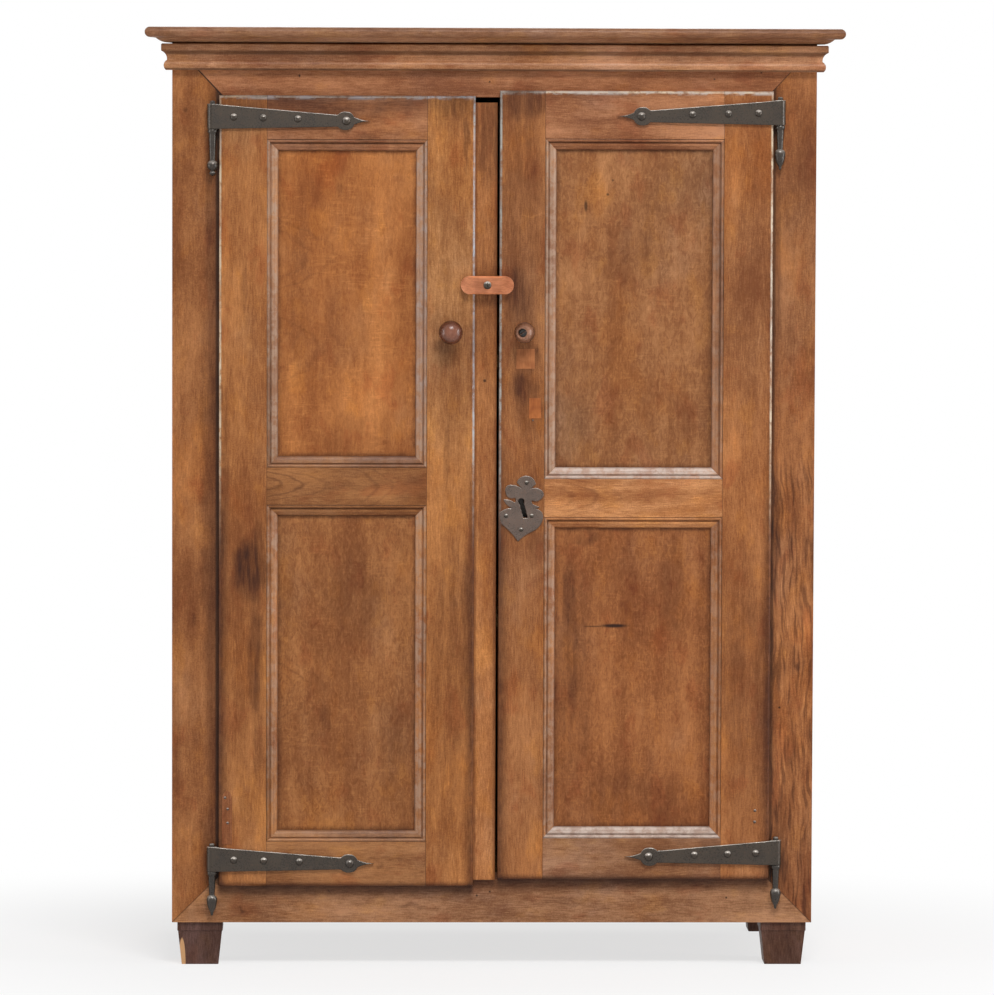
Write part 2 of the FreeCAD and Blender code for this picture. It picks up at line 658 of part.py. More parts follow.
strip = box(STRIP_EDGE, STRIP_END, STRIP_FRONT_Y, DOOR_BACK_Y, STRIP_LOW, STRIP_HIGH)
arris = [edge for edge in strip.Edges if edge.BoundBox.YMax < STRIP_FRONT_Y + 0.01
         and edge.BoundBox.XMin > STRIP_EDGE + 0.01]
strip = strip.makeFillet(STRIP_ROUND, arris)
strip = strip.cut(box(STRIP_EDGE, STRIP_END, FACE_Y - LIP_GAP, DOOR_BACK_Y, 0.0, OPEN_LOW + DOOR_PLAY))
nodes["meeting_strip"] = strip.fuse(strip_tongue(0.0))
nodes["left_meeting_stile"] = nodes["left_meeting_stile"].cut(strip_tongue(FIT))


# Strap hinges: a tapered plate with a leaf end and a rolled eye, on a pintle with an acorn drop.

def strap(side, axis_x, low, reach):
    t = STRAP_RISE
    n = STRAP_NECK / 2.0
    f = STRAP_LEAF / 2.0
    leaf = reach - LEAF_NAIL_BACK
    neck = leaf - 0.95 * f
    start = -2.0 * EYE_RADIUS
    outline = [(start, 0.0), (0.0, 0.0), (neck, t - n), (neck + 0.36 * f, t - 0.92 * f, leaf, t - f),
               (leaf + 0.55 * f, t - 0.82 * f, leaf + 0.84 * f, t - 0.42 * f),
               (leaf + 1.4 * f, t - 0.2 * f, reach, t),
               (leaf + 1.4 * f, t + 0.2 * f, leaf + 0.84 * f, t + 0.42 * f),
               (leaf + 0.55 * f, t + 0.82 * f, leaf, t + f), (neck + 0.36 * f, t + 0.92 * f, neck, t + n),
               (2.0 * EYE_RADIUS, 0.96 * STRAP_ROOT), (0.5 * EYE_RADIUS, STRAP_ROOT), (start, STRAP_ROOT)]
    face_shape = push(outline, lambda s, h: vec(axis_x + side * s, DOOR_FACE_Y - 2.0 * EYE_RADIUS, low + h),
                      vec(0, 4.0 * EYE_RADIUS, 0))
    e = EYE_RADIUS
    meet = math.sqrt(e ** 2 - (e - STRAP_THICKNESS) ** 2)
    section = [(2.0 * reach, -e), (0.0, -e), (-e, 0.0, 0.0, e),
               (e * math.cos(0.5), e * math.sin(0.5), meet, STRAP_THICKNESS - e), (2.0 * reach, STRAP_THICKNESS - e)]
    rolled = push(section, lambda s, d: vec(axis_x + side * s, PIN_Y + d, low - STRAP_ROOT),
                  vec(0, 0, 3.0 * STRAP_ROOT))
    bore = Part.makeCylinder(PIN_RADIUS + RUNNING_PLAY, 3.0 * STRAP_ROOT, vec(axis_x, PIN_Y, low - STRAP_ROOT))
    return one(rolled.cut(bore).common(face_shape))


def strap_nail_spots(side, axis_x, low, reach):
    # Places and sizes of the nails along a strap; the last one holds the leaf.
    drop = 0.5 * STRAP_ROOT - STRAP_RISE
    spots = [(axis_x + side * share * reach, low + 0.5 * STRAP_ROOT - share * drop, 1.0)
             for share in STRAP_NAIL_SHARES]
    return spots + [(axis_x + side * (reach - LEAF_NAIL_BACK), low + STRAP_RISE, LEAF_NAIL_SHARE)]


def nail(x, z, seat_y, out, size):
    # Domed head and round shank; out is -1 for a nail driven in from the front, 1 from behind.
    r = NAIL_HEAD_RADIUS * size
    h = NAIL_HEAD_HEIGHT * size
    shank = NAIL_RADIUS * size
    profile = [(0.0, -NAIL_LENGTH), (shank, 3.0 * shank - NAIL_LENGTH), (shank, 0.0), (r, 0.0),
               dome(r, h, 0.0)]
    return turned(profile, vec(x, seat_y, z), vec(0, out, 0))


def spike(x, top, grow):
    # Square-section spike with a chisel point, driven into the front stile.
    half = SPIKE_WIDTH / 2.0 + grow
    middle = top - SPIKE_WIDTH / 2.0
    tip = FACE_Y + SPIKE_DEPTH + grow
    edge = SPIKE_TIP / 2.0 + grow
    profile = [(PIN_Y, middle - half), (tip - SPIKE_WIDTH, middle - half), (tip, middle - edge),
               (tip, middle + edge), (tip - SPIKE_WIDTH, middle + half), (PIN_Y, middle + half)]
    return push(profile, lambda y, z: vec(x - half, y, z), vec(2.0 * half, 0, 0))


def pintle(x, low, neck, ends_in_ball):
    top = low + STRAP_ROOT + PIN_TOP
    collar = low - FIT
    stem = collar - COLLAR_HEIGHT
    drop = stem - neck
    r = PIN_RADIUS
    a = ACORN_RADIUS
    h = ACORN_HEIGHT
    stem_profile = [(0.0, top), (0.6 * r, top), (r, top - 0.4 * r), (r, collar), (1.6 * r, collar),
                    (1.85 * r, collar - COLLAR_HEIGHT / 2.0, 1.6 * r, stem), (1.4 * r, stem - 0.3 * r),
                    (1.05 * r, drop)]
    b = BALL_RADIUS
    ball = [(0.5 * b, drop - 0.13 * b), (b, drop - b, 0.5 * b, drop - 1.87 * b), (0.36 * b, drop - 2.1 * b),
            (0.58 * b, drop - 2.4 * b, 0.36 * b, drop - 2.7 * b), (0.0, drop - 2.95 * b)]
    acorn = [(0.72 * a, drop - 0.03 * h), (a, drop - 0.2 * h, 0.92 * a, drop - 0.36 * h),
             (0.66 * a, drop - 0.64 * h, 0.28 * a, drop - 0.82 * h), (0.24 * a, drop - 0.93 * h), (0.0, drop - h)]
    drop_piece = turned(stem_profile + (ball if ends_in_ball else acorn), vec(x, PIN_Y, 0.0), vec(0, 0, 1))
    return one(drop_piece.fuse(spike(x, stem - SPIKE_DROP, 0.0)))


LEFT_PIN_X = LEFT_EDGE - PIN_OFFSET
RIGHT_PIN_X = RIGHT_EDGE + PIN_OFFSET
HINGES = {"upper_left": ("left", 1, LEFT_PIN_X, LEFT_HIGH - UPPER_STRAP_DROP, UPPER_LEFT_REACH, LONG_NECK_LENGTH),
          "lower_left": ("left", 1, LEFT_PIN_X, LEFT_LOW + LOWER_STRAP_RISE, LOWER_LEFT_REACH, NECK_LENGTH),
          "upper_right": ("right", -1, RIGHT_PIN_X, RIGHT_HIGH - UPPER_STRAP_DROP, UPPER_RIGHT_REACH, NECK_LENGTH),
          "lower_right": ("right", -1, RIGHT_PIN_X, RIGHT_LOW + LOWER_STRAP_RISE, LOWER_RIGHT_REACH, NECK_LENGTH)}
nails = {"left": [], "right": []}
holes = {"left": [], "right": []}
for name, (door, side, pin_x, low, reach, neck) in HINGES.items():
    plate = strap(side, pin_x, low, reach)
    seat = DOOR_FACE_Y - STRAP_THICKNESS
    for x, z, size in strap_nail_spots(side, pin_x, low, reach):
        nails[door].append(nail(x, z, seat, -1, size))
        hole = rod_y(x, z, size * NAIL_RADIUS + FIT / 2.0, seat - FIT, seat + NAIL_LENGTH + FIT)
        holes[door].append(hole)
        plate = plate.cut(hole)
    nodes[name + "_strap"] = plate
    nodes[name + "_pintle"] = pintle(pin_x, low, neck, name == "upper_left")
    hole = spike(pin_x, low - FIT - COLLAR_HEIGHT - SPIKE_DROP, FIT)
    for wood in ("front_" + door + "_stile", "front_bottom_rail"):
        nodes[wood] = nodes[wood].cut(hole)


# Knobs: a turned ball on the left door, a leaning knob with a hollow end on the right door.

def dowel(x, grow):
    return rod_y(x, KNOB_HEIGHT, KNOB_DOWEL_RADIUS + grow, DOOR_FACE_Y - 1.0,
                 DOOR_FACE_Y + KNOB_DOWEL_LENGTH + grow)


LEFT_KNOB_X = STRIP_EDGE - LEFT_KNOB_IN
RIGHT_KNOB_X = RIGHT_START + RIGHT_KNOB_IN
ball = KNOB_REACH - KNOB_RADIUS
neck_radius = 0.46 * KNOB_RADIUS
join = ball - math.sqrt(KNOB_RADIUS ** 2 - neck_radius ** 2)
left_profile = [(0.0, 0.0), (0.62 * KNOB_RADIUS, 0.0), (0.62 * KNOB_RADIUS, 0.3 * join),
                (neck_radius, 0.7 * join), (neck_radius, join), (KNOB_RADIUS, ball, 0.0, KNOB_REACH)]
knob = turned(left_profile, vec(LEFT_KNOB_X, DOOR_FACE_Y, KNOB_HEIGHT), vec(0, -1, 0))
nodes["left_knob"] = one(knob.fuse(dowel(LEFT_KNOB_X, 0.0)))

r = RIGHT_KNOB_RADIUS
t = RIGHT_KNOB_REACH
right_profile = [(0.0, -0.2 * t), (0.6 * r, -0.2 * t), (0.6 * r, 0.12 * t), (0.54 * r, 0.2 * t),
                 (r, 0.58 * t, 0.64 * r, 0.97 * t), (0.6 * r, t), (RIGHT_KNOB_HOLLOW, t),
                 (RIGHT_KNOB_HOLLOW, 0.84 * t), (0.0, 0.84 * t)]
base = vec(RIGHT_KNOB_X, DOOR_FACE_Y, KNOB_HEIGHT)
knob = turned(right_profile, base, vec(0, -1, 0))
knob.rotate(base, vec(0, 0, 1), -RIGHT_KNOB_LEAN)
behind = box(RIGHT_KNOB_X - 2.0 * r, RIGHT_KNOB_X + 2.0 * r, DOOR_FACE_Y, DOOR_FACE_Y + t,
             KNOB_HEIGHT - 2.0 * r, KNOB_HEIGHT + 2.0 * r)
nodes["right_knob"] = one(knob.cut(behind).fuse(dowel(RIGHT_KNOB_X, 0.0)))
holes["left"].append(dowel(LEFT_KNOB_X, FIT / 2.0))
holes["right"].append(dowel(RIGHT_KNOB_X, FIT / 2.0))


# Turn button: a bevelled wooden bar on a screw, with a boss that reaches back to the strip.

BUTTON_X = STRIP_EDGE + STRIP_WIDTH * 0.55
BUTTON_BACK_Y = DOOR_FACE_Y - BUTTON_GAP
BUTTON_FRONT_Y = BUTTON_BACK_Y - BUTTON_THICKNESS
half = BUTTON_WIDTH / 2.0
straight = BUTTON_LENGTH / 2.0 - half
bar = push_y([(BUTTON_X - straight, BUTTON_HEIGHT - half), (BUTTON_X + straight, BUTTON_HEIGHT - half),
              (BUTTON_X + straight + half, BUTTON_HEIGHT, BUTTON_X + straight, BUTTON_HEIGHT + half),
              (BUTTON_X - straight, BUTTON_HEIGHT + half),
              (BUTTON_X - straight - half, BUTTON_HEIGHT, BUTTON_X - straight, BUTTON_HEIGHT - half)],
             BUTTON_FRONT_Y, BUTTON_BACK_Y)
rim = [edge for edge in bar.Edges if edge.BoundBox.YMax < BUTTON_FRONT_Y + 0.01]
bar = bar.makeChamfer(BUTTON_BEVEL, rim)
long = BUTTON_LENGTH / 2.0
flat = BUTTON_FLAT / 2.0
end_y = BUTTON_BACK_Y - BUTTON_END
bar = bar.common(push_z([(BUTTON_X - long, BUTTON_BACK_Y), (BUTTON_X + long, BUTTON_BACK_Y),
                         (BUTTON_X + long, end_y), (BUTTON_X + flat, BUTTON_FRONT_Y),
                         (BUTTON_X - flat, BUTTON_FRONT_Y), (BUTTON_X - long, end_y)],
                        BUTTON_HEIGHT - half, BUTTON_HEIGHT + half))
bar = bar.fuse(rod_y(BUTTON_X, BUTTON_HEIGHT, BOSS_RADIUS, BUTTON_BACK_Y, STRIP_FRONT_Y - FIT))
nodes["turn_button"] = one(bar.cut(rod_y(BUTTON_X, BUTTON_HEIGHT, SCREW_RADIUS + RUNNING_PLAY,
                                         BUTTON_FRONT_Y - 1.0, STRIP_FRONT_Y)))
head_y = BUTTON_FRONT_Y - FIT
screw_end_y = DOOR_BACK_Y - SCREW_RADIUS
screw_length = screw_end_y - head_y
screw = turned([(0.0, -screw_length), (SCREW_RADIUS, 2.0 * SCREW_RADIUS - screw_length), (SCREW_RADIUS, 0.0),
                (SCREW_HEAD_RADIUS, 0.0), dome(SCREW_HEAD_RADIUS, SCREW_HEAD_HEIGHT, 0.0)],
               vec(BUTTON_X, head_y, BUTTON_HEIGHT), vec(0, -1, 0))
slot_half = SCREW_SLOT_WIDTH / 2.0
screw_slot = box(BUTTON_X - slot_half, BUTTON_X + slot_half,
                 head_y - 2.0 * SCREW_HEAD_HEIGHT, head_y - 0.55 * SCREW_HEAD_HEIGHT,
                 BUTTON_HEIGHT - SCREW_HEAD_RADIUS, BUTTON_HEIGHT + SCREW_HEAD_RADIUS)
nodes["button_screw"] = one(screw.cut(screw_slot))
nodes["meeting_strip"] = nodes["meeting_strip"].cut(rod_y(BUTTON_X, BUTTON_HEIGHT, SCREW_RADIUS + FIT / 2.0,
                                                          STRIP_FRONT_Y - 1.0, screw_end_y + FIT))


# Keyhole plate: a shield with leaves above it.

PLATE_FRONT_Y = DOOR_FACE_Y - PLATE_THICKNESS
# Lines and arcs round the shield, in shares of the plate's width and height from the keyhole.
SHIELD = [
    (0.02, 0.20), (-0.10, 0.305), (0.11, 0.41, 0.33, 0.28), (0.21, 0.20), (0.36, 0.21, 0.49, 0.16),
    (0.50, 0.085, 0.43, 0.03), (0.34, 0.00, 0.25, 0.02), (0.24, -0.02, 0.28, -0.05), (0.42, -0.09),
    (0.33, -0.12), (0.45, -0.16, 0.50, -0.24), (0.44, -0.37, 0.25, -0.48), (0.08, -0.55, -0.07, -0.64),
    (-0.23, -0.50, -0.46, -0.35), (-0.50, -0.19), (-0.38, -0.13, -0.20, -0.11), (-0.33, -0.05, -0.40, 0.03),
    (-0.26, 0.02, -0.15, -0.02), (-0.12, 0.02, -0.15, 0.06), (-0.28, 0.06, -0.35, 0.14),
    (-0.33, 0.24, -0.23, 0.265), (-0.09, 0.245, 0.02, 0.20)]
PLATE_NAILS = ((0.12, 0.30), (-0.34, -0.23), (0.24, -0.23), (0.0, -0.45))


def on_plate(item):
    size = (PLATE_WIDTH, PLATE_HEIGHT)
    key = (KEY_X, KEY_Z)
    return tuple(key[place % 2] + share * size[place % 2] for place, share in enumerate(item))


plate = push_y([on_plate(item) for item in SHIELD], PLATE_FRONT_Y, DOOR_FACE_Y)


def key_way(y0, y1):
    half = KEY_SLOT_WIDTH / 2.0
    slot = push_y([(KEY_X - half, KEY_Z), (KEY_X + half, KEY_Z),
                   (KEY_X + KEY_SLOT_LEAN + half, KEY_Z - KEY_SLOT_LENGTH),
                   (KEY_X + KEY_SLOT_LEAN - half, KEY_Z - KEY_SLOT_LENGTH)], y0, y1)
    return rod_y(KEY_X, KEY_Z, KEYHOLE_RADIUS, y0, y1).fuse(slot)


way = key_way(PLATE_FRONT_Y - 1.0, DOOR_BACK_Y + 1.0)
holes["right"].append(way)
plate = plate.cut(way)
for spot in PLATE_NAILS:
    x, z = on_plate(spot)
    nails["right"].append(nail(x, z, PLATE_FRONT_Y, -1, SMALL_NAIL_SHARE))
    hole = rod_y(x, z, SMALL_NAIL_SHARE * NAIL_RADIUS + FIT / 2.0, PLATE_FRONT_Y - FIT,
                 PLATE_FRONT_Y + NAIL_LENGTH + FIT)
    holes["right"].append(hole)
    plate = plate.cut(hole)
nodes["escutcheon"] = one(plate)


# Lock: a case nailed behind the right door, and a bolt that slides behind the strip of the left door.

LOCK_X = RIGHT_START + LOCK_SETBACK
LOCK_LOW = KEY_Z - 0.55 * LOCK_HEIGHT
LOCK_HIGH = LOCK_LOW + LOCK_HEIGHT
LOCK_BACK_Y = DOOR_BACK_Y + LOCK_DEPTH
BOLT_LOW = KEY_Z + BOLT_ABOVE_KEY
BOLT_FRONT_Y = DOOR_BACK_Y + BOLT_CLEARANCE


def bolt(start, grow):
    return box(start, LOCK_X + BOLT_LENGTH + grow, BOLT_FRONT_Y - grow, BOLT_FRONT_Y + BOLT_THICKNESS + grow,
               BOLT_LOW - grow, BOLT_LOW + BOLT_HEIGHT + grow)


case = box(LOCK_X, LOCK_X + LOCK_WIDTH, DOOR_BACK_Y, LOCK_BACK_Y, LOCK_LOW, LOCK_HIGH)
case = case.cut(box(LOCK_X + LOCK_WALL, LOCK_X + LOCK_WIDTH - LOCK_WALL, DOOR_BACK_Y - 1.0, LOCK_BACK_Y - LOCK_WALL,
                    LOCK_LOW + LOCK_WALL, LOCK_HIGH - LOCK_WALL))
case = case.fuse(box(LOCK_X, LOCK_X + LOCK_WIDTH, DOOR_BACK_Y, DOOR_BACK_Y + LOCK_WALL,
                     LOCK_HIGH - LOCK_WALL, LOCK_HIGH + LOCK_EAR))
case = case.fuse(box(LOCK_X, LOCK_X + LOCK_WIDTH, DOOR_BACK_Y, DOOR_BACK_Y + LOCK_WALL,
                     LOCK_LOW - LOCK_EAR, LOCK_LOW + LOCK_WALL))
case = case.cut(bolt(LOCK_X - 1.0, FIT))
for x in (LOCK_X + 0.25 * LOCK_WIDTH, LOCK_X + 0.75 * LOCK_WIDTH):
    for z in (LOCK_LOW - LOCK_EAR / 2.0, LOCK_HIGH + LOCK_EAR / 2.0):
        seat = DOOR_BACK_Y + LOCK_WALL
        nails["right"].append(nail(x, z, seat, 1, SMALL_NAIL_SHARE))
        hole = rod_y(x, z, SMALL_NAIL_SHARE * NAIL_RADIUS + FIT / 2.0, seat - NAIL_LENGTH - FIT, seat + FIT)
        holes["right"].append(hole)
        case = case.cut(hole)
nodes["lock_case"] = one(case)
nodes["lock_bolt"] = bolt(LOCK_X, 0.0)

for door in ("left", "right"):
    nodes[door + "_door_nails"] = Part.makeCompound(nails[door])
    for wood in ("hinge_stile", "meeting_stile", "bottom_rail", "middle_rail", "top_rail"):
        shape = nodes[door + "_" + wood]
        for hole in holes[door]:
            shape = shape.cut(hole)
        nodes[door + "_" + wood] = shape


# One file for each piece.

for name, shape in nodes.items():
    if len(shape.Solids) == 1:
        shape = one(shape)
    shape.exportStep("parts/" + name + ".step")
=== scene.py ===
import math
import random

import bmesh
import bpy
from mathutils import Matrix, Vector


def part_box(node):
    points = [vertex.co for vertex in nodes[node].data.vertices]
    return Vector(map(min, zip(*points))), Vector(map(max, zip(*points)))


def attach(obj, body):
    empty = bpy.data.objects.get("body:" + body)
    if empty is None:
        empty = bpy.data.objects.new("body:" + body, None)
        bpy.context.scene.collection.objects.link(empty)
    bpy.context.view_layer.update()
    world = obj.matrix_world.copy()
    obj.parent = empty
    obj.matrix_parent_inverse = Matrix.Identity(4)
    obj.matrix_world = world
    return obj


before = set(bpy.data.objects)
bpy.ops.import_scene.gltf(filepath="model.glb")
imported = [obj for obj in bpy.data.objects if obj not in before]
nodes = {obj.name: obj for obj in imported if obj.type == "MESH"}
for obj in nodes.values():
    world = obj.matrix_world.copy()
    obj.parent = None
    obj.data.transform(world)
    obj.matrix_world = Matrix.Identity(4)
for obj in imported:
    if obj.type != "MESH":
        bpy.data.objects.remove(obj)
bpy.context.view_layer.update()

scene = bpy.context.scene

# Sizes that several sections share, in metres.
DOOR_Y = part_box("left_middle_rail")[0].y
MOULDING_WIDTH = 0.017
PANEL_TONGUE = 0.010


def mm(value):
    """Millimetres as metres."""
    return value / 1000.0


def srgb(r, g, b):
    """A screen colour, 0 to 255, as the linear colour that nodes take."""
    def line(v):
        v /= 255.0
        return v / 12.92 if v <= 0.04045 else ((v + 0.055) / 1.055) ** 2.4
    return (line(r), line(g), line(b), 1.0)


class Shade:
    """Short calls that add nodes to one node tree."""

    def __init__(self, tree):
        self.tree = tree
        tree.nodes.clear()

    def put(self, socket, value):
        """Link a socket to another one, or set its value."""
        if isinstance(value, bpy.types.NodeSocket):
            self.tree.links.new(value, socket)
        else:
            socket.default_value = value

    def add(self, kind, values=(), **settings):
        """A node with its settings, and values for its inputs by name or in order."""
        item = self.tree.nodes.new("ShaderNode" + kind)
        for key, value in settings.items():
            setattr(item, key, value)
        for key, value in values.items() if isinstance(values, dict) else enumerate(values):
            if value is not None:
                self.put(item.inputs[key], value)
        return item

    def calc(self, operation, a, b=None, c=None):
        return self.add("Math", (a, b, c), operation=operation).outputs[0]

    def total(self, start, terms):
        """Start plus weight * (value - 0.5) for each term."""
        for value, weight in terms:
            start = self.calc("ADD", self.calc("MULTIPLY_ADD", value, weight, -0.5 * weight), start)
        return start

    def vector(self, operation, a, b=None):
        item = self.add("VectorMath", (a, b), operation=operation)
        return item.outputs["Value" if operation in ("LENGTH", "DOT_PRODUCT") else "Vector"]

    def noise(self, where, stretch, detail=2.0, roughness=0.5):
        """Noise of one scale, or of a scale for each axis."""
        if isinstance(stretch, tuple):
            where = self.vector("MULTIPLY", where, stretch)
            stretch = 1.0
        values = {"Vector": where, "Scale": stretch, "Detail": detail, "Roughness": roughness}
        return self.add("TexNoise", values).outputs[0]

    def span(self, value, low, high, a=0.0, b=1.0):
        """A smooth step from a at low to b at high."""
        return self.add("MapRange", (value, low, high, a, b), interpolation_type="SMOOTHSTEP").outputs[0]

    def mix(self, factor, a, b, blend="MIX"):
        item = self.add("Mix", {0: factor, 6: a, 7: b}, data_type="RGBA", blend_type=blend)
        return item.outputs[2]

    def ramp(self, value, stops):
        item = self.add("ValToRGB", (value,))
        elements = item.color_ramp.elements
        while len(elements) < len(stops):
            elements.new(0.5)
        for element, (place, colour) in zip(elements, stops):
            element.position = place
            element.color = tuple(colour[:3]) + (1.0,)
        return item.outputs[0]

    def bump(self, height, distance, strength, normal=None):
        values = {"Strength": strength, "Distance": distance, "Height": height, "Normal": normal}
        return self.add("Bump", values).outputs[0]

    def surface(self, values):
        shader = self.add("BsdfPrincipled", values)
        out = self.add("OutputMaterial")
        self.put(out.inputs[0], shader.outputs[0])


def material(name):
    """A new material and the calls for its nodes."""
    made = bpy.data.materials.new(name)
    made.use_nodes = True
    return made, Shade(made.node_tree)


LAYERS = ("bands", "fibre", "dash", "cloud", "speck", "flame", "fleck", "whorl")


def grain_group():
    """Layers of oak figure; the grain vector is across, along and into the board, in metres."""
    group = bpy.data.node_groups.new("wood_grain", "ShaderNodeTree")
    group.interface.new_socket("Grain", in_out="INPUT", socket_type="NodeSocketVector")
    for label in LAYERS:
        group.interface.new_socket(label, in_out="OUTPUT", socket_type="NodeSocketFloat")
    shade = Shade(group)
    grain = group.nodes.new("NodeGroupInput").outputs["Grain"]
    bend = shade.noise(grain, (3.2, 1.1, 3.2))
    shift = shade.add("CombineXYZ", (shade.calc("MULTIPLY_ADD", bend, 0.05, -0.025),)).outputs[0]
    path = shade.vector("ADD", grain, shift)
    sway = shade.noise(grain, (16.0, 9.0, 16.0))
    sway = shade.add("CombineXYZ", (shade.calc("MULTIPLY_ADD", sway, 0.03, -0.015),)).outputs[0]
    curl = shade.noise(shade.vector("ADD", path, shift), (55.0, 330.0, 55.0), 1.0)
    patches = shade.span(shade.noise(grain, 30.0), 0.42, 0.60)
    whorl = {"Vector": shade.vector("MULTIPLY", grain, (1.0, 0.45, 1.0)), "Scale": 150.0, "Detail": 2.0,
             "Roughness": 0.6, "Distortion": 1.8}
    layers = {"bands": shade.noise(path, (34.0, 3.0, 34.0), 3.0, 0.55),
              "fibre": shade.noise(path, (620.0, 70.0, 620.0), 2.0, 0.6),
              "dash": shade.noise(path, (450.0, 58.0, 450.0), 1.0),
              "cloud": shade.noise(grain, (11.0, 5.0, 11.0), 4.0, 0.65),
              "speck": shade.noise(grain, 520.0, 2.0, 0.6),
              "flame": shade.noise(shade.vector("ADD", path, sway), (230.0, 17.0, 230.0), 2.0, 0.55),
              "fleck": shade.calc("MULTIPLY", shade.span(curl, 0.52, 0.66), patches),
              "whorl": shade.add("TexNoise", whorl).outputs[0]}
    out = group.nodes.new("NodeGroupOutput")
    for label in LAYERS:
        group.links.new(layers[label], out.inputs[label])
    return group


GRAIN = grain_group()

# How much each layer counts in a kind of board.
FIGURES = {"frame": {"bands": 1.1, "fibre": 0.55, "cloud": 1.8, "speck": 0.7, "fleck": 0.05},
           "stile": {"bands": 0.9, "fibre": 0.6, "cloud": 1.3, "speck": 0.6, "fleck": 0.05},
           "rail": {"bands": 1.2, "fibre": 0.6, "cloud": 1.8, "speck": 0.6, "fleck": 0.05},
           "panel": {"bands": 0.7, "fibre": 0.3, "cloud": 1.3, "speck": 0.35, "fleck": 0.1, "whorl": 0.8},
           "curly": {"bands": 0.7, "fibre": 0.35, "cloud": 1.3, "speck": 0.35, "fleck": 0.13, "whorl": 0.5}}

# The axes across, along and into a board whose grain runs along x, y or z.
AXES = {"x": (2, 0, 1), "y": (2, 1, 0), "z": (0, 2, 1)}

# Tones of the grain from its darkest to its palest, where 0.5 keeps the board's colour.
TONES = ((0.06, (0.27, 0.21, 0.17)), (0.34, (0.40, 0.37, 0.34)), (0.5, (0.5, 0.5, 0.5)),
         (0.66, (0.61, 0.64, 0.67)), (0.94, (0.80, 0.87, 0.94)))

# Tints that multiply the wood: those of the marks, and those of its slow changes of hue.
TINTS = {"dark": (0.30, 0.23, 0.20, 1.0), "stain": (0.44, 0.36, 0.32, 1.0), "pale": (1.35, 1.45, 1.55, 1.0),
         "grey": (0.92, 1.03, 1.25, 1.0), "black": (0.07, 0.06, 0.06, 1.0)}
HONEY, RUSSET = (1.12, 1.11, 0.95, 1.0), (0.90, 0.78, 0.72, 1.0)
BLOOM, AMBER = (0.99, 1.06, 1.24, 1.0), (1.05, 0.97, 0.80, 1.0)

# Fillets, hollows and rounds across a moulding, from the frame to the panel: painted shade, with some grime,
# darkens the hollows and both edges, and painted highlights lighten the rounds.
MOULD_LIGHT_AND_SHADE = ((0.0, (0.36, 0.31, 0.28)), (0.05, (0.92, 0.92, 0.92)), (0.24, (1.04, 1.05, 1.08)),
               (0.29, (0.55, 0.50, 0.47)), (0.36, (0.58, 0.53, 0.50)), (0.42, (0.98, 0.99, 1.0)),
               (0.60, (1.08, 1.09, 1.11)), (0.67, (0.74, 0.71, 0.70)), (0.72, (1.0, 1.0, 1.02)),
               (0.88, (1.06, 1.07, 1.10)), (0.95, (0.55, 0.50, 0.47)), (1.0, (0.24, 0.20, 0.18)))

# Grey wax on the stiles' mouldings; dust and painted light on the mouldings that face up; scuffs and a
# painted highlight on the doors' top edges.
GREY_WAX, DUST_AND_TOP_LIGHT, SCUFF_AND_HIGHLIGHT = srgb(176, 146, 124), srgb(208, 190, 178), srgb(190, 178, 168)


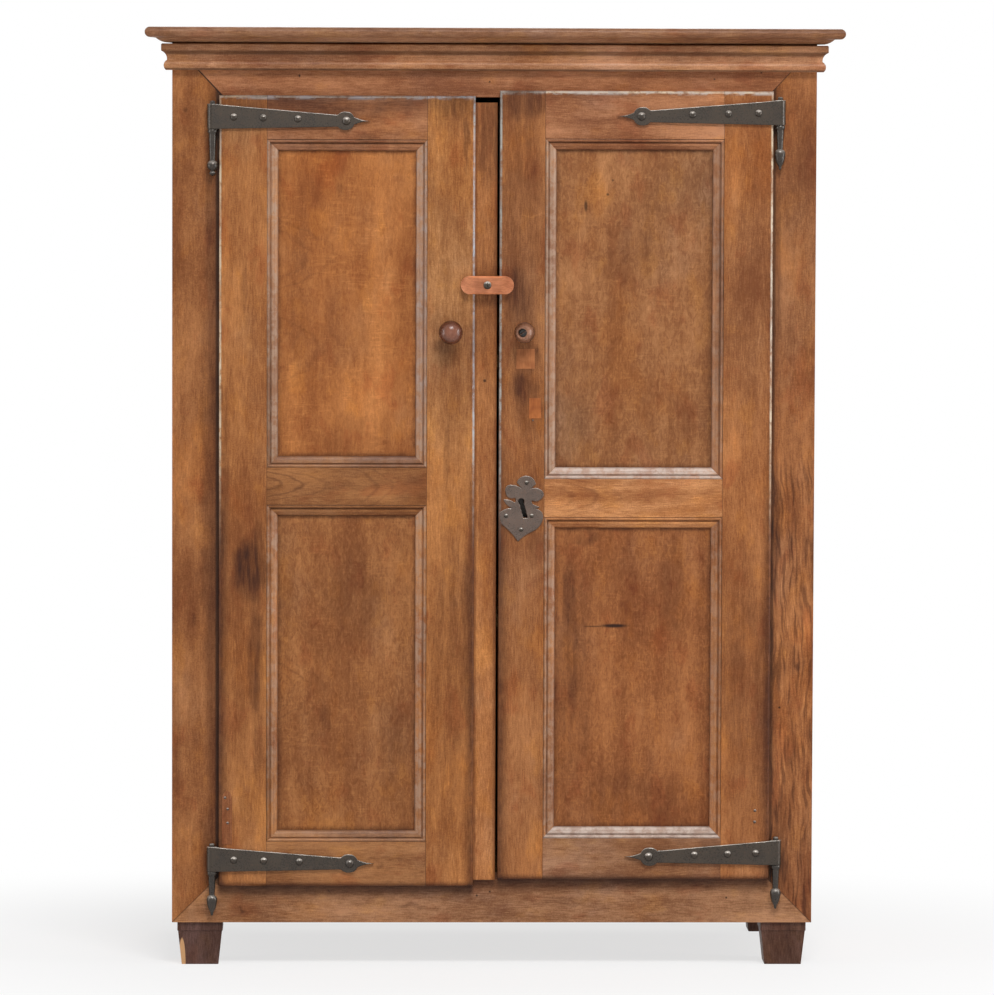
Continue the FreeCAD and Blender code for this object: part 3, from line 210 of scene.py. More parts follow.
class Oak:
    """Old waxed oak for one member: its figure, then the marks, the wear and the painted light and shade laid
    over it.
    """

    def __init__(self, name, axis, colour, figure="frame", pores=0.5, rough=0.45):
        self.made, self.shade = material(name)
        shade = self.shade
        self.place = shade.add("TexCoord").outputs["Object"]
        self.x, self.y, self.z = shade.add("SeparateXYZ", (self.place,)).outputs
        sides = (self.x, self.y, self.z)
        across, along, depth = (sides[n] for n in AXES[axis])
        grain = shade.add("CombineXYZ", (across, along, depth)).outputs[0]
        chance = random.Random(name)
        grain = shade.vector("ADD", grain, tuple(chance.uniform(-9.0, 9.0) for _ in range(3)))
        self.grain = grain
        self.layers = shade.add("Group", node_tree=GRAIN)
        shade.put(self.layers.inputs[0], grain)
        layer = self.layers.outputs
        tone = shade.total(0.5, [(layer[label], weight) for label, weight in FIGURES[figure].items()])
        tone = shade.total(tone, ((layer["dash"], -1.5 * pores),))
        base = tuple(2.0 * v for v in colour[:3]) + (1.0,)
        self.paint = shade.mix(1.0, shade.ramp(tone, TONES), base, "MULTIPLY")
        hue = shade.noise(shade.vector("ADD", grain, (5.0, 5.0, 5.0)), (24.0, 13.0, 24.0), 4.0, 0.6)
        bloom = shade.noise(shade.vector("ADD", grain, (3.0, 7.0, 1.0)), (9.0, 5.0, 9.0), 4.0, 0.65)
        for patch, tint in ((shade.span(hue, 0.54, 0.68), HONEY), (shade.span(hue, 0.46, 0.32), RUSSET),
                            (shade.span(bloom, 0.52, 0.68), BLOOM), (shade.span(bloom, 0.48, 0.32), AMBER)):
            self.tint(patch, tint)
        self.broken = shade.span(shade.noise(self.place, 70.0, 4.0, 0.7), 0.38, 0.62)
        self.rough = shade.total(rough, ((tone, -0.12), (layer["dash"], 0.15)))
        self.height = shade.total(0.5, ((layer["fibre"], 0.6), (layer["dash"], -0.9)))

    def tint(self, amount, tint):
        """Multiply the paint by a tint, as far as an amount says."""
        self.paint = self.shade.mix(amount, self.paint, tint, "MULTIPLY")

    def away(self, where, x, z, wide, high):
        """Distance from x and z (mm), where 1 is the edge of an oval of this half width and half height."""
        shade = self.shade
        offset = shade.vector("SUBTRACT", where, (mm(x), 0.0, mm(z)))
        return shade.vector("LENGTH", shade.vector("MULTIPLY", offset, (1000.0 / wide, 0.0, 1000.0 / high)))

    def inset(self, rectangles):
        """How far a point lies inside the nearest of some rectangles (x0, x1, z0, z1), in metres."""
        shade = self.shade
        deepest = None
        for x0, x1, z0, z1 in rectangles:
            near = shade.calc("SUBTRACT", self.x, x0)
            for end, start in ((x1, self.x), (self.z, z0), (z1, self.z)):
                near = shade.calc("MINIMUM", near, shade.calc("SUBTRACT", end, start))
            deepest = near if deepest is None else shade.calc("MAXIMUM", deepest, near)
        return deepest

    def flame(self, top, strength):
        """Long wavy streaks of coarse grain below a height, in mm."""
        shade = self.shade
        streak = self.layers.outputs["flame"]
        below = shade.span(self.z, mm(top) + 0.05, mm(top) - 0.05)
        for part, kind in ((shade.span(streak, 0.50, 0.36, 0.0, strength), "dark"),
                           (shade.span(streak, 0.52, 0.66, 0.0, strength), "pale")):
            self.tint(shade.calc("MULTIPLY", part, below), TINTS[kind])

    def shadow(self, x0, x1, z, depth, strength):
        """Painted shadow below the edge of a door, in mm."""
        shade = self.shade
        inside = shade.calc("MULTIPLY", shade.span(self.x, mm(x0) - 0.004, mm(x0) + 0.004),
                            shade.span(self.x, mm(x1) + 0.004, mm(x1) - 0.004))
        near = shade.add("MapRange", (self.z, mm(z - depth), mm(z), 0.0, strength)).outputs[0]
        self.tint(shade.calc("MULTIPLY", near, inside), TINTS["dark"])

    def spots(self, kind, spots):
        """Marks on the front: x, z, half width, half height (mm), strength. Black ones have clean edges."""
        shade = self.shade
        where = self.place
        if kind != "black":
            drift = shade.add("TexNoise", {"Vector": self.place, "Scale": 40.0, "Detail": 4.0}).outputs[1]
            drift = shade.vector("SUBTRACT", drift, (0.5, 0.5, 0.5))
            where = shade.vector("ADD", where, shade.vector("MULTIPLY", drift, (0.012, 0.0, 0.035)))
        strongest = 0.0
        for x, z, wide, high, strength in spots:
            amount = shade.span(self.away(where, x, z, wide, high), 1.0, 0.3, 0.0, strength)
            strongest = shade.calc("MAXIMUM", strongest, amount)
        if kind in ("dark", "stain"):
            streak = shade.noise(self.grain, (120.0, 10.0, 120.0), 3.0, 0.6)
            strongest = shade.calc("MULTIPLY", strongest, shade.span(streak, 0.36, 0.56, 0.6, 1.0))
        front = shade.span(self.y, DOOR_Y + 0.026, DOOR_Y + 0.020)
        self.tint(shade.calc("MULTIPLY", strongest, front), TINTS[kind])

    def line(self, start, end, width, strength, kind="black"):
        """A dark line through two points (x, z), all in mm."""
        shade = self.shade
        along = Vector((end[0] - start[0], end[1] - start[1])).normalized()
        normal = (-along.y, 0.0, along.x)
        offset = mm(along.x * start[1] - along.y * start[0])
        away = shade.calc("SUBTRACT", shade.vector("DOT_PRODUCT", self.place, normal), offset)
        away = shade.calc("ABSOLUTE", away)
        self.tint(shade.span(away, mm(width), mm(0.3 * width), 0.0, strength), TINTS[kind])

    def mouldings(self, openings, level, dust_and_light, wax):
        """Worn mouldings round the panels, with painted light and shade across them: grey wax on a stile's;
        on a rail's, dust and painted light above its level, where they face up, and painted shade below it,
        where they face down.
        """
        shade = self.shade
        deep = self.inset(openings)
        if level is None:
            grey = shade.span(shade.noise(self.place, 16.0, 4.0, 0.7), 0.38, 0.60, 0.25, 0.6)
            grey = shade.calc("MULTIPLY_ADD", grey, self.broken, shade.span(self.z, 0.64, 0.80, 0.12, 0.32))
            worn_and_shaded = shade.mix(shade.calc("MULTIPLY", grey, wax), self.paint, GREY_WAX)
            shading_strength = 0.5
        else:
            # Above the rail's level the moulding faces up and gets dust and painted light; below it, it faces
            # down and gets a little painted shade and stronger painted lines.
            above = shade.calc("GREATER_THAN", self.z, level)
            dirt_and_shade = shade.calc("MULTIPLY_ADD", above, -0.05, 0.05)
            worn_and_shaded = shade.mix(dirt_and_shade, self.paint, TINTS["dark"], "MULTIPLY")
            lit_dust = shade.calc("MULTIPLY_ADD", self.broken, 0.5 * dust_and_light, 0.5 * dust_and_light)
            worn_and_shaded = shade.mix(shade.calc("MULTIPLY", above, lit_dust), worn_and_shaded, DUST_AND_TOP_LIGHT)
            shading_strength = shade.calc("MULTIPLY_ADD", above, -0.35, 0.85)
        # Painted light and shade across the moulding's profile.
        lines = shade.ramp(shade.calc("DIVIDE", deep, MOULDING_WIDTH), MOULD_LIGHT_AND_SHADE)
        worn_and_shaded = shade.mix(shading_strength, worn_and_shaded, lines, "MULTIPLY")
        front = shade.span(self.y, DOOR_Y + 0.011, DOOR_Y + 0.012, 1.0, 0.0)
        here = shade.calc("MULTIPLY", shade.calc("GREATER_THAN", deep, 0.0), front)
        self.paint = shade.mix(here, self.paint, worn_and_shaded)

    def sunk(self, opening):
        """Darkening on a panel along the mouldings that hold it: grime, and painted shade where the panel
        meets them.
        """
        shade = self.shade
        dirt_and_shade = shade.span(self.inset((opening,)), MOULDING_WIDTH, MOULDING_WIDTH + 0.008, 0.7, 0.0)
        dirt_and_shade = shade.calc("MULTIPLY", dirt_and_shade, shade.calc("MULTIPLY_ADD", self.broken, 0.5, 0.5))
        self.tint(dirt_and_shade, TINTS["dark"])

    def rim(self, outer, colour):
        """The rounded outer edge of a door: a painted highlight along its sides and top, fading lower down; a
        darker line just inside it; grime and painted shade beside it low down; painted shade along its foot;
        and scuffs with a painted highlight on its top.
        """
        shade = self.shade
        left, right, foot, top = outer
        near = self.inset(((left, right, 0.0, top),))
        front = shade.span(self.y, DOOR_Y + 0.0050, DOOR_Y + 0.0065, 1.0, 0.0)
        # A darker line just inside the edge, broken in places.
        inner_darkening = shade.calc("MULTIPLY", shade.span(near, 0.009, 0.004, 0.0, 0.4), self.broken)
        # Grime and painted shade beside the edge, lower down.
        grime_and_shade = shade.span(near, 0.020, 0.002, 0.0, 0.75)
        grime_and_shade = shade.calc("MULTIPLY", grime_and_shade, shade.span(self.z, 0.85, 0.62))
        # Painted shade along the door's foot.
        foot_shade = shade.span(shade.calc("SUBTRACT", self.z, foot), 0.010, 0.001, 0.0, 0.85)
        for dirt_and_shade in (inner_darkening, grime_and_shade, foot_shade):
            self.tint(shade.calc("MULTIPLY", dirt_and_shade, front), TINTS["dark"])
        # A painted highlight along the sides and top, broken in places and fading lower down.
        patchy = shade.span(shade.noise(self.place, 14.0, 5.0, 0.75), 0.40, 0.62, 0.35, 0.95)
        highlight_breakup = shade.noise(self.place, (150.0, 150.0, 95.0), 3.0, 0.7)
        highlight_reach = shade.calc("MULTIPLY", patchy, shade.span(highlight_breakup, 0.34, 0.52, 0.25, 1.0))
        highlight_reach = shade.calc("MULTIPLY", highlight_reach, shade.span(self.z, 0.60, 0.84))
        rim_highlight = shade.calc("MULTIPLY", shade.span(near, 0.0042, 0.0022), highlight_reach)
        self.paint = shade.mix(shade.calc("MULTIPLY", rim_highlight, front), self.paint, colour)
        # Scuffs and a painted highlight along the top edge.
        scuffs_and_highlight = shade.noise(self.place, (34.0, 34.0, 60.0), 4.0, 0.7)
        upper = shade.span(shade.calc("SUBTRACT", top, self.z), 0.0075, 0.0035)
        scuffs_and_highlight = shade.calc("MULTIPLY", upper, shade.span(scuffs_and_highlight, 0.44, 0.60, 0.0, 0.85))
        self.paint = shade.mix(shade.calc("MULTIPLY", scuffs_and_highlight, front), self.paint, SCUFF_AND_HIGHLIGHT)

    def boards(self, joints):
        """Boards side by side: each with a tone of its own, and a dark joint at each x (mm)."""
        shade = self.shade
        number = 0.0
        for joint in joints:
            number = shade.calc("ADD", number, shade.calc("GREATER_THAN", self.x, mm(joint)))
            self.line((joint, 0), (joint, 1), 1.6, 0.9)
        chance = shade.add("TexWhiteNoise", {"W": number}, noise_dimensions="1D").outputs["Value"]
        self.tint(1.0, shade.ramp(chance, ((0.0, (0.80, 0.79, 0.77)), (1.0, (1.14, 1.13, 1.12)))))

    def chip(self, x, z, wide, high, colour):
        """Fresh wood where a corner has broken off, in mm."""
        fresh = self.shade.span(self.away(self.place, x, z, wide, high), 1.0, 0.9)
        self.paint = self.shade.mix(fresh, self.paint, colour)

    def cathedral(self, x, z, reach, half, count, strength):
        """Pointed growth lines of a flat-sawn board, opening to the left of a tip at x and z (mm)."""
        shade = self.shade
        back = shade.calc("MULTIPLY_ADD", self.x, -1000.0 / reach, x / reach)
        side = shade.calc("MULTIPLY_ADD", self.z, 1000.0 / half, -z / half)
        ring = shade.calc("SUBTRACT", back, shade.calc("MULTIPLY", side, side))
        ring = shade.total(ring, ((shade.noise(self.place, (30.0, 30.0, 60.0), 3.0), 0.5),))
        wave = shade.calc("PINGPONG", shade.calc("MULTIPLY", ring, count), 1.0)
        amount = shade.span(wave, 0.45, 0.0, 0.0, strength)
        for limit in (shade.span(ring, -0.1, 0.1), shade.span(back, 1.5, 0.9)):
            amount = shade.calc("MULTIPLY", amount, limit)
        self.tint(amount, TINTS["dark"])

    def finish(self, coat=0.04, marks=None):
        """Draw the marks and close the material with a thin coat of wax."""
        marks = marks or {}
        for kind in TINTS:
            if kind in marks:
                self.spots(kind, marks[kind])
        for key, draw in (("lines", self.line), ("cathedral", self.cathedral), ("flame", self.flame),
                          ("shadow", self.shadow)):
            for values in marks.get(key, ()):
                draw(*values)
        self.shade.surface({"Base Color": self.paint, "Roughness": self.rough,
                            "Normal": self.shade.bump(self.height, 0.0006, 0.6),
                            "Specular IOR Level": 0.2, "Coat Weight": coat, "Coat Roughness": 0.2})
        return self.made


# The colours of rust, and of the painted highlight on iron.
RUST, IRON_HIGHLIGHT = srgb(108, 74, 52), srgb(204, 196, 186)


def iron(name, colour, rust, highlight_strength):
    """Hand-forged iron, browned, with a painted highlight on the edges and rivet heads that face up."""
    made, shade = material(name)
    place = shade.add("TexCoord").outputs["Object"]
    cloud = shade.noise(place, 42.0, 4.0, 0.6)
    fine = shade.noise(place, 420.0, 3.0, 0.6)
    paint = shade.mix(shade.span(cloud, 0.3, 0.7), tuple(0.62 * v for v in colour[:3]) + (1.0,), colour)
    paint = shade.mix(shade.span(fine, 0.55, 0.75, 0.0, rust), paint, RUST)
    rounded = shade.add("Bevel", {"Radius": 0.002}, samples=8).outputs[0]
    # A painted highlight where the rounded normal faces up.
    upward = shade.add("SeparateXYZ", (rounded,)).outputs[2]
    upward_highlight = shade.span(upward, 0.2, 0.65, 0.0, highlight_strength)
    upward_highlight = shade.calc("MULTIPLY", upward_highlight, shade.span(cloud, 0.36, 0.56, 0.4, 1.0))
    paint = shade.mix(upward_highlight, paint, IRON_HIGHLIGHT)
    height = shade.total(0.5, ((cloud, 1.0), (fine, 0.2)))
    shade.surface({"Base Color": paint, "Roughness": shade.total(0.30, ((fine, 0.3), (cloud, 0.15))),
                   "Metallic": 0.3, "Specular IOR Level": 0.6,
                   "Normal": shade.bump(height, 0.0012, 0.5, rounded)})
    return made


# Tints painted on the hand-polished pieces: shade on the knobs' outer parts, and highlights on the turn
# button's ends and chamfers.
KNOB_EDGE_SHADE = (0.34, 0.27, 0.24, 1.0)
END_HIGHLIGHT = (1.28, 1.36, 1.5, 1.0)
BEVEL_HIGHLIGHT = (1.46, 1.44, 1.40, 1.0)


def fruitwood(name, colour, axis, rough, coat, edge=None, highlight_slopes=False):
    """Wood polished by hands; an edge is a node, the tint painted on its outer parts (painted shade on a
    knob, a painted highlight on the button) and where they start.
    """
    made, shade = material(name)
    place = shade.add("TexCoord").outputs["Object"]
    sides = shade.add("SeparateXYZ", (place,)).outputs
    grain = shade.add("CombineXYZ", tuple(sides[n] for n in AXES[axis])).outputs[0]
    lines = shade.noise(grain, (700.0, 45.0, 700.0), 3.0, 0.6)
    cloud = shade.noise(place, 60.0, 3.0)
    tone = shade.total(0.5, ((lines, 0.7), (cloud, 1.0)))
    base = tuple(2.0 * v for v in colour[:3]) + (1.0,)
    paint = shade.mix(1.0, shade.ramp(tone, TONES), base, "MULTIPLY")
    # Painted shade on a knob's outer parts, a painted highlight on the button's ends.
    if edge:
        node, tint, start = edge
        low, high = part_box(node)
        away = shade.vector("SUBTRACT", place, tuple((low + high) / 2.0))
        away = shade.vector("LENGTH", shade.vector("MULTIPLY", away, (1.0, 0.0, 1.0)))
        reach = (high.x - low.x) / 2.0
        paint = shade.mix(shade.span(away, start * reach, reach), paint, tint, "MULTIPLY")
    # A painted highlight on the faces that slope from the front, such as chamfers.
    if highlight_slopes:
        normal = shade.add("SeparateXYZ", (shade.add("NewGeometry").outputs["True Normal"],)).outputs[1]
        front = shade.calc("ABSOLUTE", normal)
        slope = shade.calc("MULTIPLY", shade.span(front, 0.96, 0.80), shade.span(front, 0.3, 0.6))
        paint = shade.mix(slope, paint, BEVEL_HIGHLIGHT, "MULTIPLY")
    shade.surface({"Base Color": paint, "Roughness": shade.total(rough, ((cloud, 0.2),)),
                   "Normal": shade.bump(lines, 0.0003, 0.5), "Specular IOR Level": 0.3,
                   "Coat Weight": coat, "Coat Roughness": 0.2})
    return made


# Widths of the worn arrises, in metres.
FRAME_ARRIS, DOOR_ARRIS, BARE_ARRIS, FOOT_ARRIS = 0.0012, 0.0005, 0.001, 0.0022
PLATE_ARRIS, BUTTON_ARRIS, PATCH_ARRIS, REPAIR_ARRIS, SCREW_ARRIS = 0.0004, 0.0006, 0.0002, 0.0005, 0.0004


def soften(piece, width):
    """Worn arrises, by modifiers alone."""
    weld = piece.modifiers.new("weld", "WELD")
    weld.merge_threshold = 0.00002
    flat = piece.modifiers.new("flat", "DECIMATE")
    flat.decimate_type = "DISSOLVE"
    flat.angle_limit = math.radians(0.5)
    arris = piece.modifiers.new("arris", "BEVEL")
    arris.width = width
    arris.segments = 2
    arris.limit_method = "ANGLE"
    arris.angle_limit = math.radians(38)
    clean = piece.modifiers.new("clean", "WELD")
    clean.merge_threshold = 0.00003
    normals = piece.modifiers.new("normals", "WEIGHTED_NORMAL")
    normals.keep_sharp = False


def dress(node, finish, arris=None):
    """A CAD node's material and, where it has sharp edges, the width of their wear."""
    piece = nodes[node]
    piece.data.materials.clear()
    piece.data.materials.append(finish)
    if arris:
        soften(piece, arris)


def opening_of(panel):
    """The opening that a door panel fills, inside its frame."""
    low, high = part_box(panel)
    rim = MOULDING_WIDTH - PANEL_TONGUE
    return (low.x - rim, high.x + rim, low.z - rim, high.z + rim)


# The face frame, sides, top and cornice. Each member has the run of its grain, its colour, how open its
# pores are, and its marks, whose rows are the arguments of the method that draws them, with lengths in mm.
LEFT_TOP_MITRE = ((-480, 1381), (-404, 1300.6), 1.5, 0.95)
RIGHT_TOP_MITRE = ((480, 1381), (404, 1300.6), 1.0, 0.7)
LEFT_FOOT_MITRE = ((-480, 64.5), (-404, 140), 1.0, 0.6)
RIGHT_FOOT_MITRE = ((480, 64.5), (404, 140), 1.0, 0.6)
# Dark lines across the cornice under its fascia and under its bead: painted shade where the profile steps,
# with some grime in the quirk.
CORNICE_SHADE_LINES = (((0, 1366.5), (1, 1366.5), 5.0, 0.6), ((0, 1341.5), (1, 1341.5), 2.0, 0.6))
# On the front stiles, the lines at x -411 and 416 and the long dark rows at x -426 to -424 and 423 to 430 are
# painted shade, with some dirt, in the gap beside the doors.
FRAME_WOOD = {
    "front_left_stile": ("z", srgb(153, 97, 55), 0.2, {
        "dark": ((-424, 760, 17, 620, 0.55), (-462, 1280, 6, 9, 0.6), (-447, 520, 5, 12, 0.5),
                 (-470, 300, 9, 60, 0.3), (-426, 1110, 7, 100, 0.7), (-425, 180, 16, 90, 0.5)),
        "lines": (((-411, 0), (-411, 1), 6.5, 0.8), ((-411, 0), (-411, 1), 22, 0.5, "dark"), LEFT_TOP_MITRE,
                  LEFT_FOOT_MITRE)}),
    "front_right_stile": ("z", srgb(149, 93, 53), 0.25, {
        "flame": ((760, 0.65),),
        "grey": ((448, 1030, 60, 290, 0.9),),
        "dark": ((456, 450, 5, 13, 0.75), (424, 660, 10, 120, 0.65), (423, 1050, 8, 170, 0.5),
                 (445, 640, 4, 16, 0.5), (430, 180, 14, 90, 0.45)),
        "black": ((430, 389, 2.4, 2.4, 0.9),),
        "lines": (((416, 0), (416, 1), 6.0, 0.7), ((416, 0), (416, 1), 18, 0.35, "dark"), RIGHT_TOP_MITRE,
                  RIGHT_FOOT_MITRE)}),
    "front_top_rail": ("x", srgb(156, 101, 66), 0.3, {
        "black": ((-291, 1332, 2.2, 3.4, 0.9), (-8, 1324, 2.2, 2.2, 0.8), (327, 1329, 2.0, 2.0, 0.8),
                  (397, 1339, 2.0, 2.0, 0.8)),
        "lines": (LEFT_TOP_MITRE, RIGHT_TOP_MITRE)}),
    "front_bottom_rail": ("x", srgb(147, 102, 70), 0.4, {
        "dark": ((-120, 88, 36, 8, 0.5), (-375, 84, 9, 4, 0.6), (-245, 110, 5, 3, 0.6),
                 (110, 96, 60, 9, 0.3)),
        "shadow": ((-410, -29, 121, 28, 0.85), (-410, -29, 121, 15, 0.7), (-29, 4, 130, 20, 0.85),
                   (7, 415, 131, 26, 0.8), (7, 415, 131, 11, 0.75)),
        "black": ((-23, 105, 2.2, 2.2, 0.9), (-3.5, 111, 2.2, 2.2, 0.9), (352, 102, 2.2, 2.2, 0.9)),
        "lines": (LEFT_FOOT_MITRE, RIGHT_FOOT_MITRE)}),
    "top_board": ("x", srgb(140, 97, 69), 0.4, {}),
    "cornice_front": ("x", srgb(162, 111, 76), 0.3, {
        "pale": ((-421, 1349, 9, 4, 0.6), (420, 1354, 70, 6, 0.6), (486, 1352, 12, 9, 0.9)),
        "lines": CORNICE_SHADE_LINES}),
}
for side in ("left", "right"):
    FRAME_WOOD["cornice_" + side] = ("y", srgb(152, 101, 63), 0.5, {"lines": CORNICE_SHADE_LINES})
    FRAME_WOOD["rear_" + side + "_post"] = ("z", srgb(143, 92, 54), 0.4, {})
    for level in ("top", "middle", "bottom"):
        FRAME_WOOD[side + "_side_" + level + "_rail"] = ("y", srgb(146, 94, 55), 0.4, {})
    for level in ("upper", "lower"):
        FRAME_WOOD[side + "_side_" + level + "_panel"] = ("z", srgb(150, 96, 55), 0.3, {})
for name, (axis, colour, pores, marks) in FRAME_WOOD.items():
    figure = "panel" if "panel" in name else "stile" if "side" in name or name == "top_board" else "frame"
    dress(name, Oak(name + "_oak", axis, colour, figure, pores).finish(marks=marks), FRAME_ARRIS)

# The doors, with members as above.
DOOR_WOOD = {
    "left_hinge_stile": ("z", srgb(160, 102, 56), 0.28, {
        "grey": ((-380, 1255, 60, 60, 1.0),),
        "stain": ((-364, 600, 32, 44, 1.0), (-352, 440, 14, 130, 0.6)),
        "dark": ((-362, 590, 36, 74, 1.0), (-352, 640, 14, 40, 0.7), (-356, 470, 17, 130, 0.75),
                 (-352, 330, 13, 60, 0.5), (-375, 1294, 60, 34, 0.6), (-380, 430, 60, 330, 0.15),
                 (-400, 700, 8, 200, 0.4), (-372, 1010, 9, 60, 0.35))}),
    "left_meeting_stile": ("z", srgb(170, 109, 59), 0.28, {
        "grey": ((-65, 1020, 110, 380, 1.0), (-65, 1306, 90, 50, 1.0)),
        "pale": ((-65, 1130, 80, 160, 0.12),),
        "dark": ((-42, 1238, 6, 62, 0.8), (-44, 550, 15, 90, 0.6), (-80, 1056, 9, 9, 0.4),
                 (-78, 930, 24, 18, 0.5), (-46, 1010, 8, 30, 0.4), (-65, 1302, 70, 56, 0.75),
                 (-65, 440, 55, 330, 0.5), (-70, 770, 7, 70, 0.4))}),
    "left_top_rail": ("x", srgb(150, 98, 64), 0.25, {
        "grey": ((-220, 1308, 290, 24, 1.0),),
        "dark": ((-220, 1302, 280, 44, 0.8), (-222, 1233, 150, 13, 0.35))}),
    "left_middle_rail": ("x", srgb(139, 89, 50), 0.2, {
        "dark": ((-215, 722, 60, 6, 0.3), (-120, 715, 40, 30, 0.35)),
        "cathedral": ((-245, 724, 95, 24, 5.0, 0.55), (-150, 720, 40, 30, 3.0, 0.35))}),
    "left_bottom_rail": ("x", srgb(143, 94, 56), 0.28, {
        "dark": ((-170, 150, 9, 4, 0.5), (-222, 202, 150, 13, 0.4))}),
    "right_hinge_stile": ("z", srgb(160, 101, 57), 0.28, {
        "grey": ((380, 1000, 60, 270, 0.8),),
        "dark": ((394, 462, 15, 72, 0.65), (373, 580, 11, 14, 0.45), (388, 330, 10, 60, 0.3),
                 (380, 420, 60, 300, 0.5), (336, 990, 10, 280, 0.4))}),
    "right_meeting_stile": ("z", srgb(156, 100, 58), 0.3, {
        "stain": ((28, 1015, 20, 60, 0.75), (44, 872, 26, 44, 0.5), (64, 914, 10, 24, 0.6)),
        "dark": ((45, 1298, 60, 48, 0.9), (38, 1005, 30, 72, 0.75), (36, 1190, 12, 60, 0.5),
                 (60, 640, 12, 60, 0.3), (38, 872, 22, 36, 0.75), (45, 930, 40, 90, 0.4),
                 (56, 842, 36, 70, 0.55), (64, 920, 3, 14, 0.6), (42, 1150, 50, 230, 0.4)),
        "pale": ((56, 1124, 20, 3.5, 0.7),)}),
    "right_top_rail": ("x", srgb(153, 100, 66), 0.25, {"dark": ((150, 1303, 90, 9, 0.35),)}),
    "right_middle_rail": ("x", srgb(187, 127, 80), 0.2, {"cathedral": ((190, 706, 70, 26, 4.0, 0.3),)}),
    "right_bottom_rail": ("x", srgb(148, 106, 78), 0.28, {}),
}
# Dust and painted light on each door's upward-facing mouldings; less grey wax on the right hinge stile's
# moulding, which leaves it darker as painted shade; and the colours of the painted highlights on the doors'
# edges.
DUST_AND_LIGHT = {"left": 0.12, "right": 0.88}
LESS_WAX_MORE_SHADE = {"right_hinge_stile": 0.6}
MEETING_HIGHLIGHT, EDGE_HIGHLIGHT = srgb(186, 190, 184), srgb(220, 202, 174)
SHOULDER_WIDTH, SHOULDER_STRENGTH = 1.0, 0.7
for side in ("left", "right"):
    stiles = [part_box(side + "_" + part) for part in ("hinge_stile", "meeting_stile")]
    outer = (min(low.x for low, high in stiles), max(high.x for low, high in stiles),
             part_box(side + "_bottom_rail")[0].z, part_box(side + "_top_rail")[1].z)
    openings = [opening_of(side + "_" + level + "_panel") for level in ("lower", "upper")]
    for name, (axis, colour, pores, marks) in DOOR_WOOD.items():
        if name.startswith(side):
            oak = Oak(name + "_oak", axis, colour, "rail" if axis == "x" else "stile", pores)
            low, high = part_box(name)
            level = (low.z + high.z) / 2.0 if axis == "x" else None
            oak.mouldings(openings, level, DUST_AND_LIGHT[side], LESS_WAX_MORE_SHADE.get(name, 1.0))
            oak.rim(outer, MEETING_HIGHLIGHT if "meeting" in name else EDGE_HIGHLIGHT)
            if axis == "x":
                for joint in openings[0][:2]:
                    shoulder = 1000.0 * joint
                    oak.line((shoulder, 0), (shoulder, 1), SHOULDER_WIDTH, SHOULDER_STRENGTH)
            dress(name, oak.finish(marks=marks), DOOR_ARRIS)

# The door panels, whose grain runs upright.
PANEL_WOOD = {
    "left_upper_panel": (srgb(169, 105, 55), 0.1, {
        "cathedral": ((-200, 1065, 120, 60, 6.0, 0.22), (-225, 925, 90, 60, 5.0, 0.18)),
        "dark": ((-231, 1165, 9, 12, 0.4), (-205, 790, 90, 60, 0.3), (-290, 1000, 22, 180, 0.25))}),
    "left_lower_panel": (srgb(152, 97, 54), 0.15, {
        "cathedral": ((-250, 414, 62, 48, 5.0, 0.25),),
        "dark": ((-250, 375, 12, 30, 0.4), (-200, 560, 70, 90, 0.3), (-150, 330, 30, 110, 0.25))}),
    "right_upper_panel": (srgb(153, 101, 61), 0.1, {
        "grey": ((300, 1180, 80, 90, 0.8), (110, 800, 60, 80, 0.8)),
        "black": ((136, 1140, 3.6, 12, 0.75), (168.6, 1157, 3.0, 3.0, 0.7), (176, 1178, 2.4, 2.4, 0.6)),
        "dark": ((230, 1100, 50, 110, 0.25), (120, 850, 40, 90, 0.25))}),
    "right_lower_panel": (srgb(150, 92, 50), 0.15, {
        "stain": ((112, 560, 14, 70, 0.7), (138, 640, 20, 14, 0.6)),
        "dark": ((118, 470, 14, 190, 0.7), (115, 430, 45, 260, 0.4), (150, 642, 14, 12, 0.5),
                 (140, 351, 10, 55, 0.45), (210, 250, 110, 70, 0.3), (270, 560, 30, 120, 0.3)),
        "black": ((181, 512, 28, 4.2, 0.98), (152, 511, 24, 1.6, 0.6)),
        "pale": ((209.5, 632, 8, 2.4, 0.7),)}),
}
for name, (colour, pores, marks) in PANEL_WOOD.items():
    oak = Oak(name + "_oak", "z", colour, "curly" if name == "left_upper_panel" else "panel", pores)
    oak.sunk(opening_of(name))
    dress(name, oak.finish(marks=marks))

# The strip's dark lines are painted shade beside the gap at x 4 and the painted shadow of the left door's
# edge at x -29.
STRIP_MARKS = {"dark": ((-14, 1235, 5, 62, 0.75), (-12, 1250, 28, 120, 0.9), (-2, 1270, 5, 25, 0.4),
                        (-20, 700, 5, 90, 0.35), (-12, 1000, 24, 260, 0.5)),
               "black": ((-14, 879, 3.4, 3.4, 0.85),),
               "lines": (((4, 0), (4, 1), 6.5, 0.6, "dark"), ((-29, 0), (-29, 1), 5.0, 0.6, "dark"))}
strip = Oak("meeting_strip_oak", "z", srgb(174, 112, 64), "stile", 0.3)
dress("meeting_strip", strip.finish(marks=STRIP_MARKS), DOOR_ARRIS)

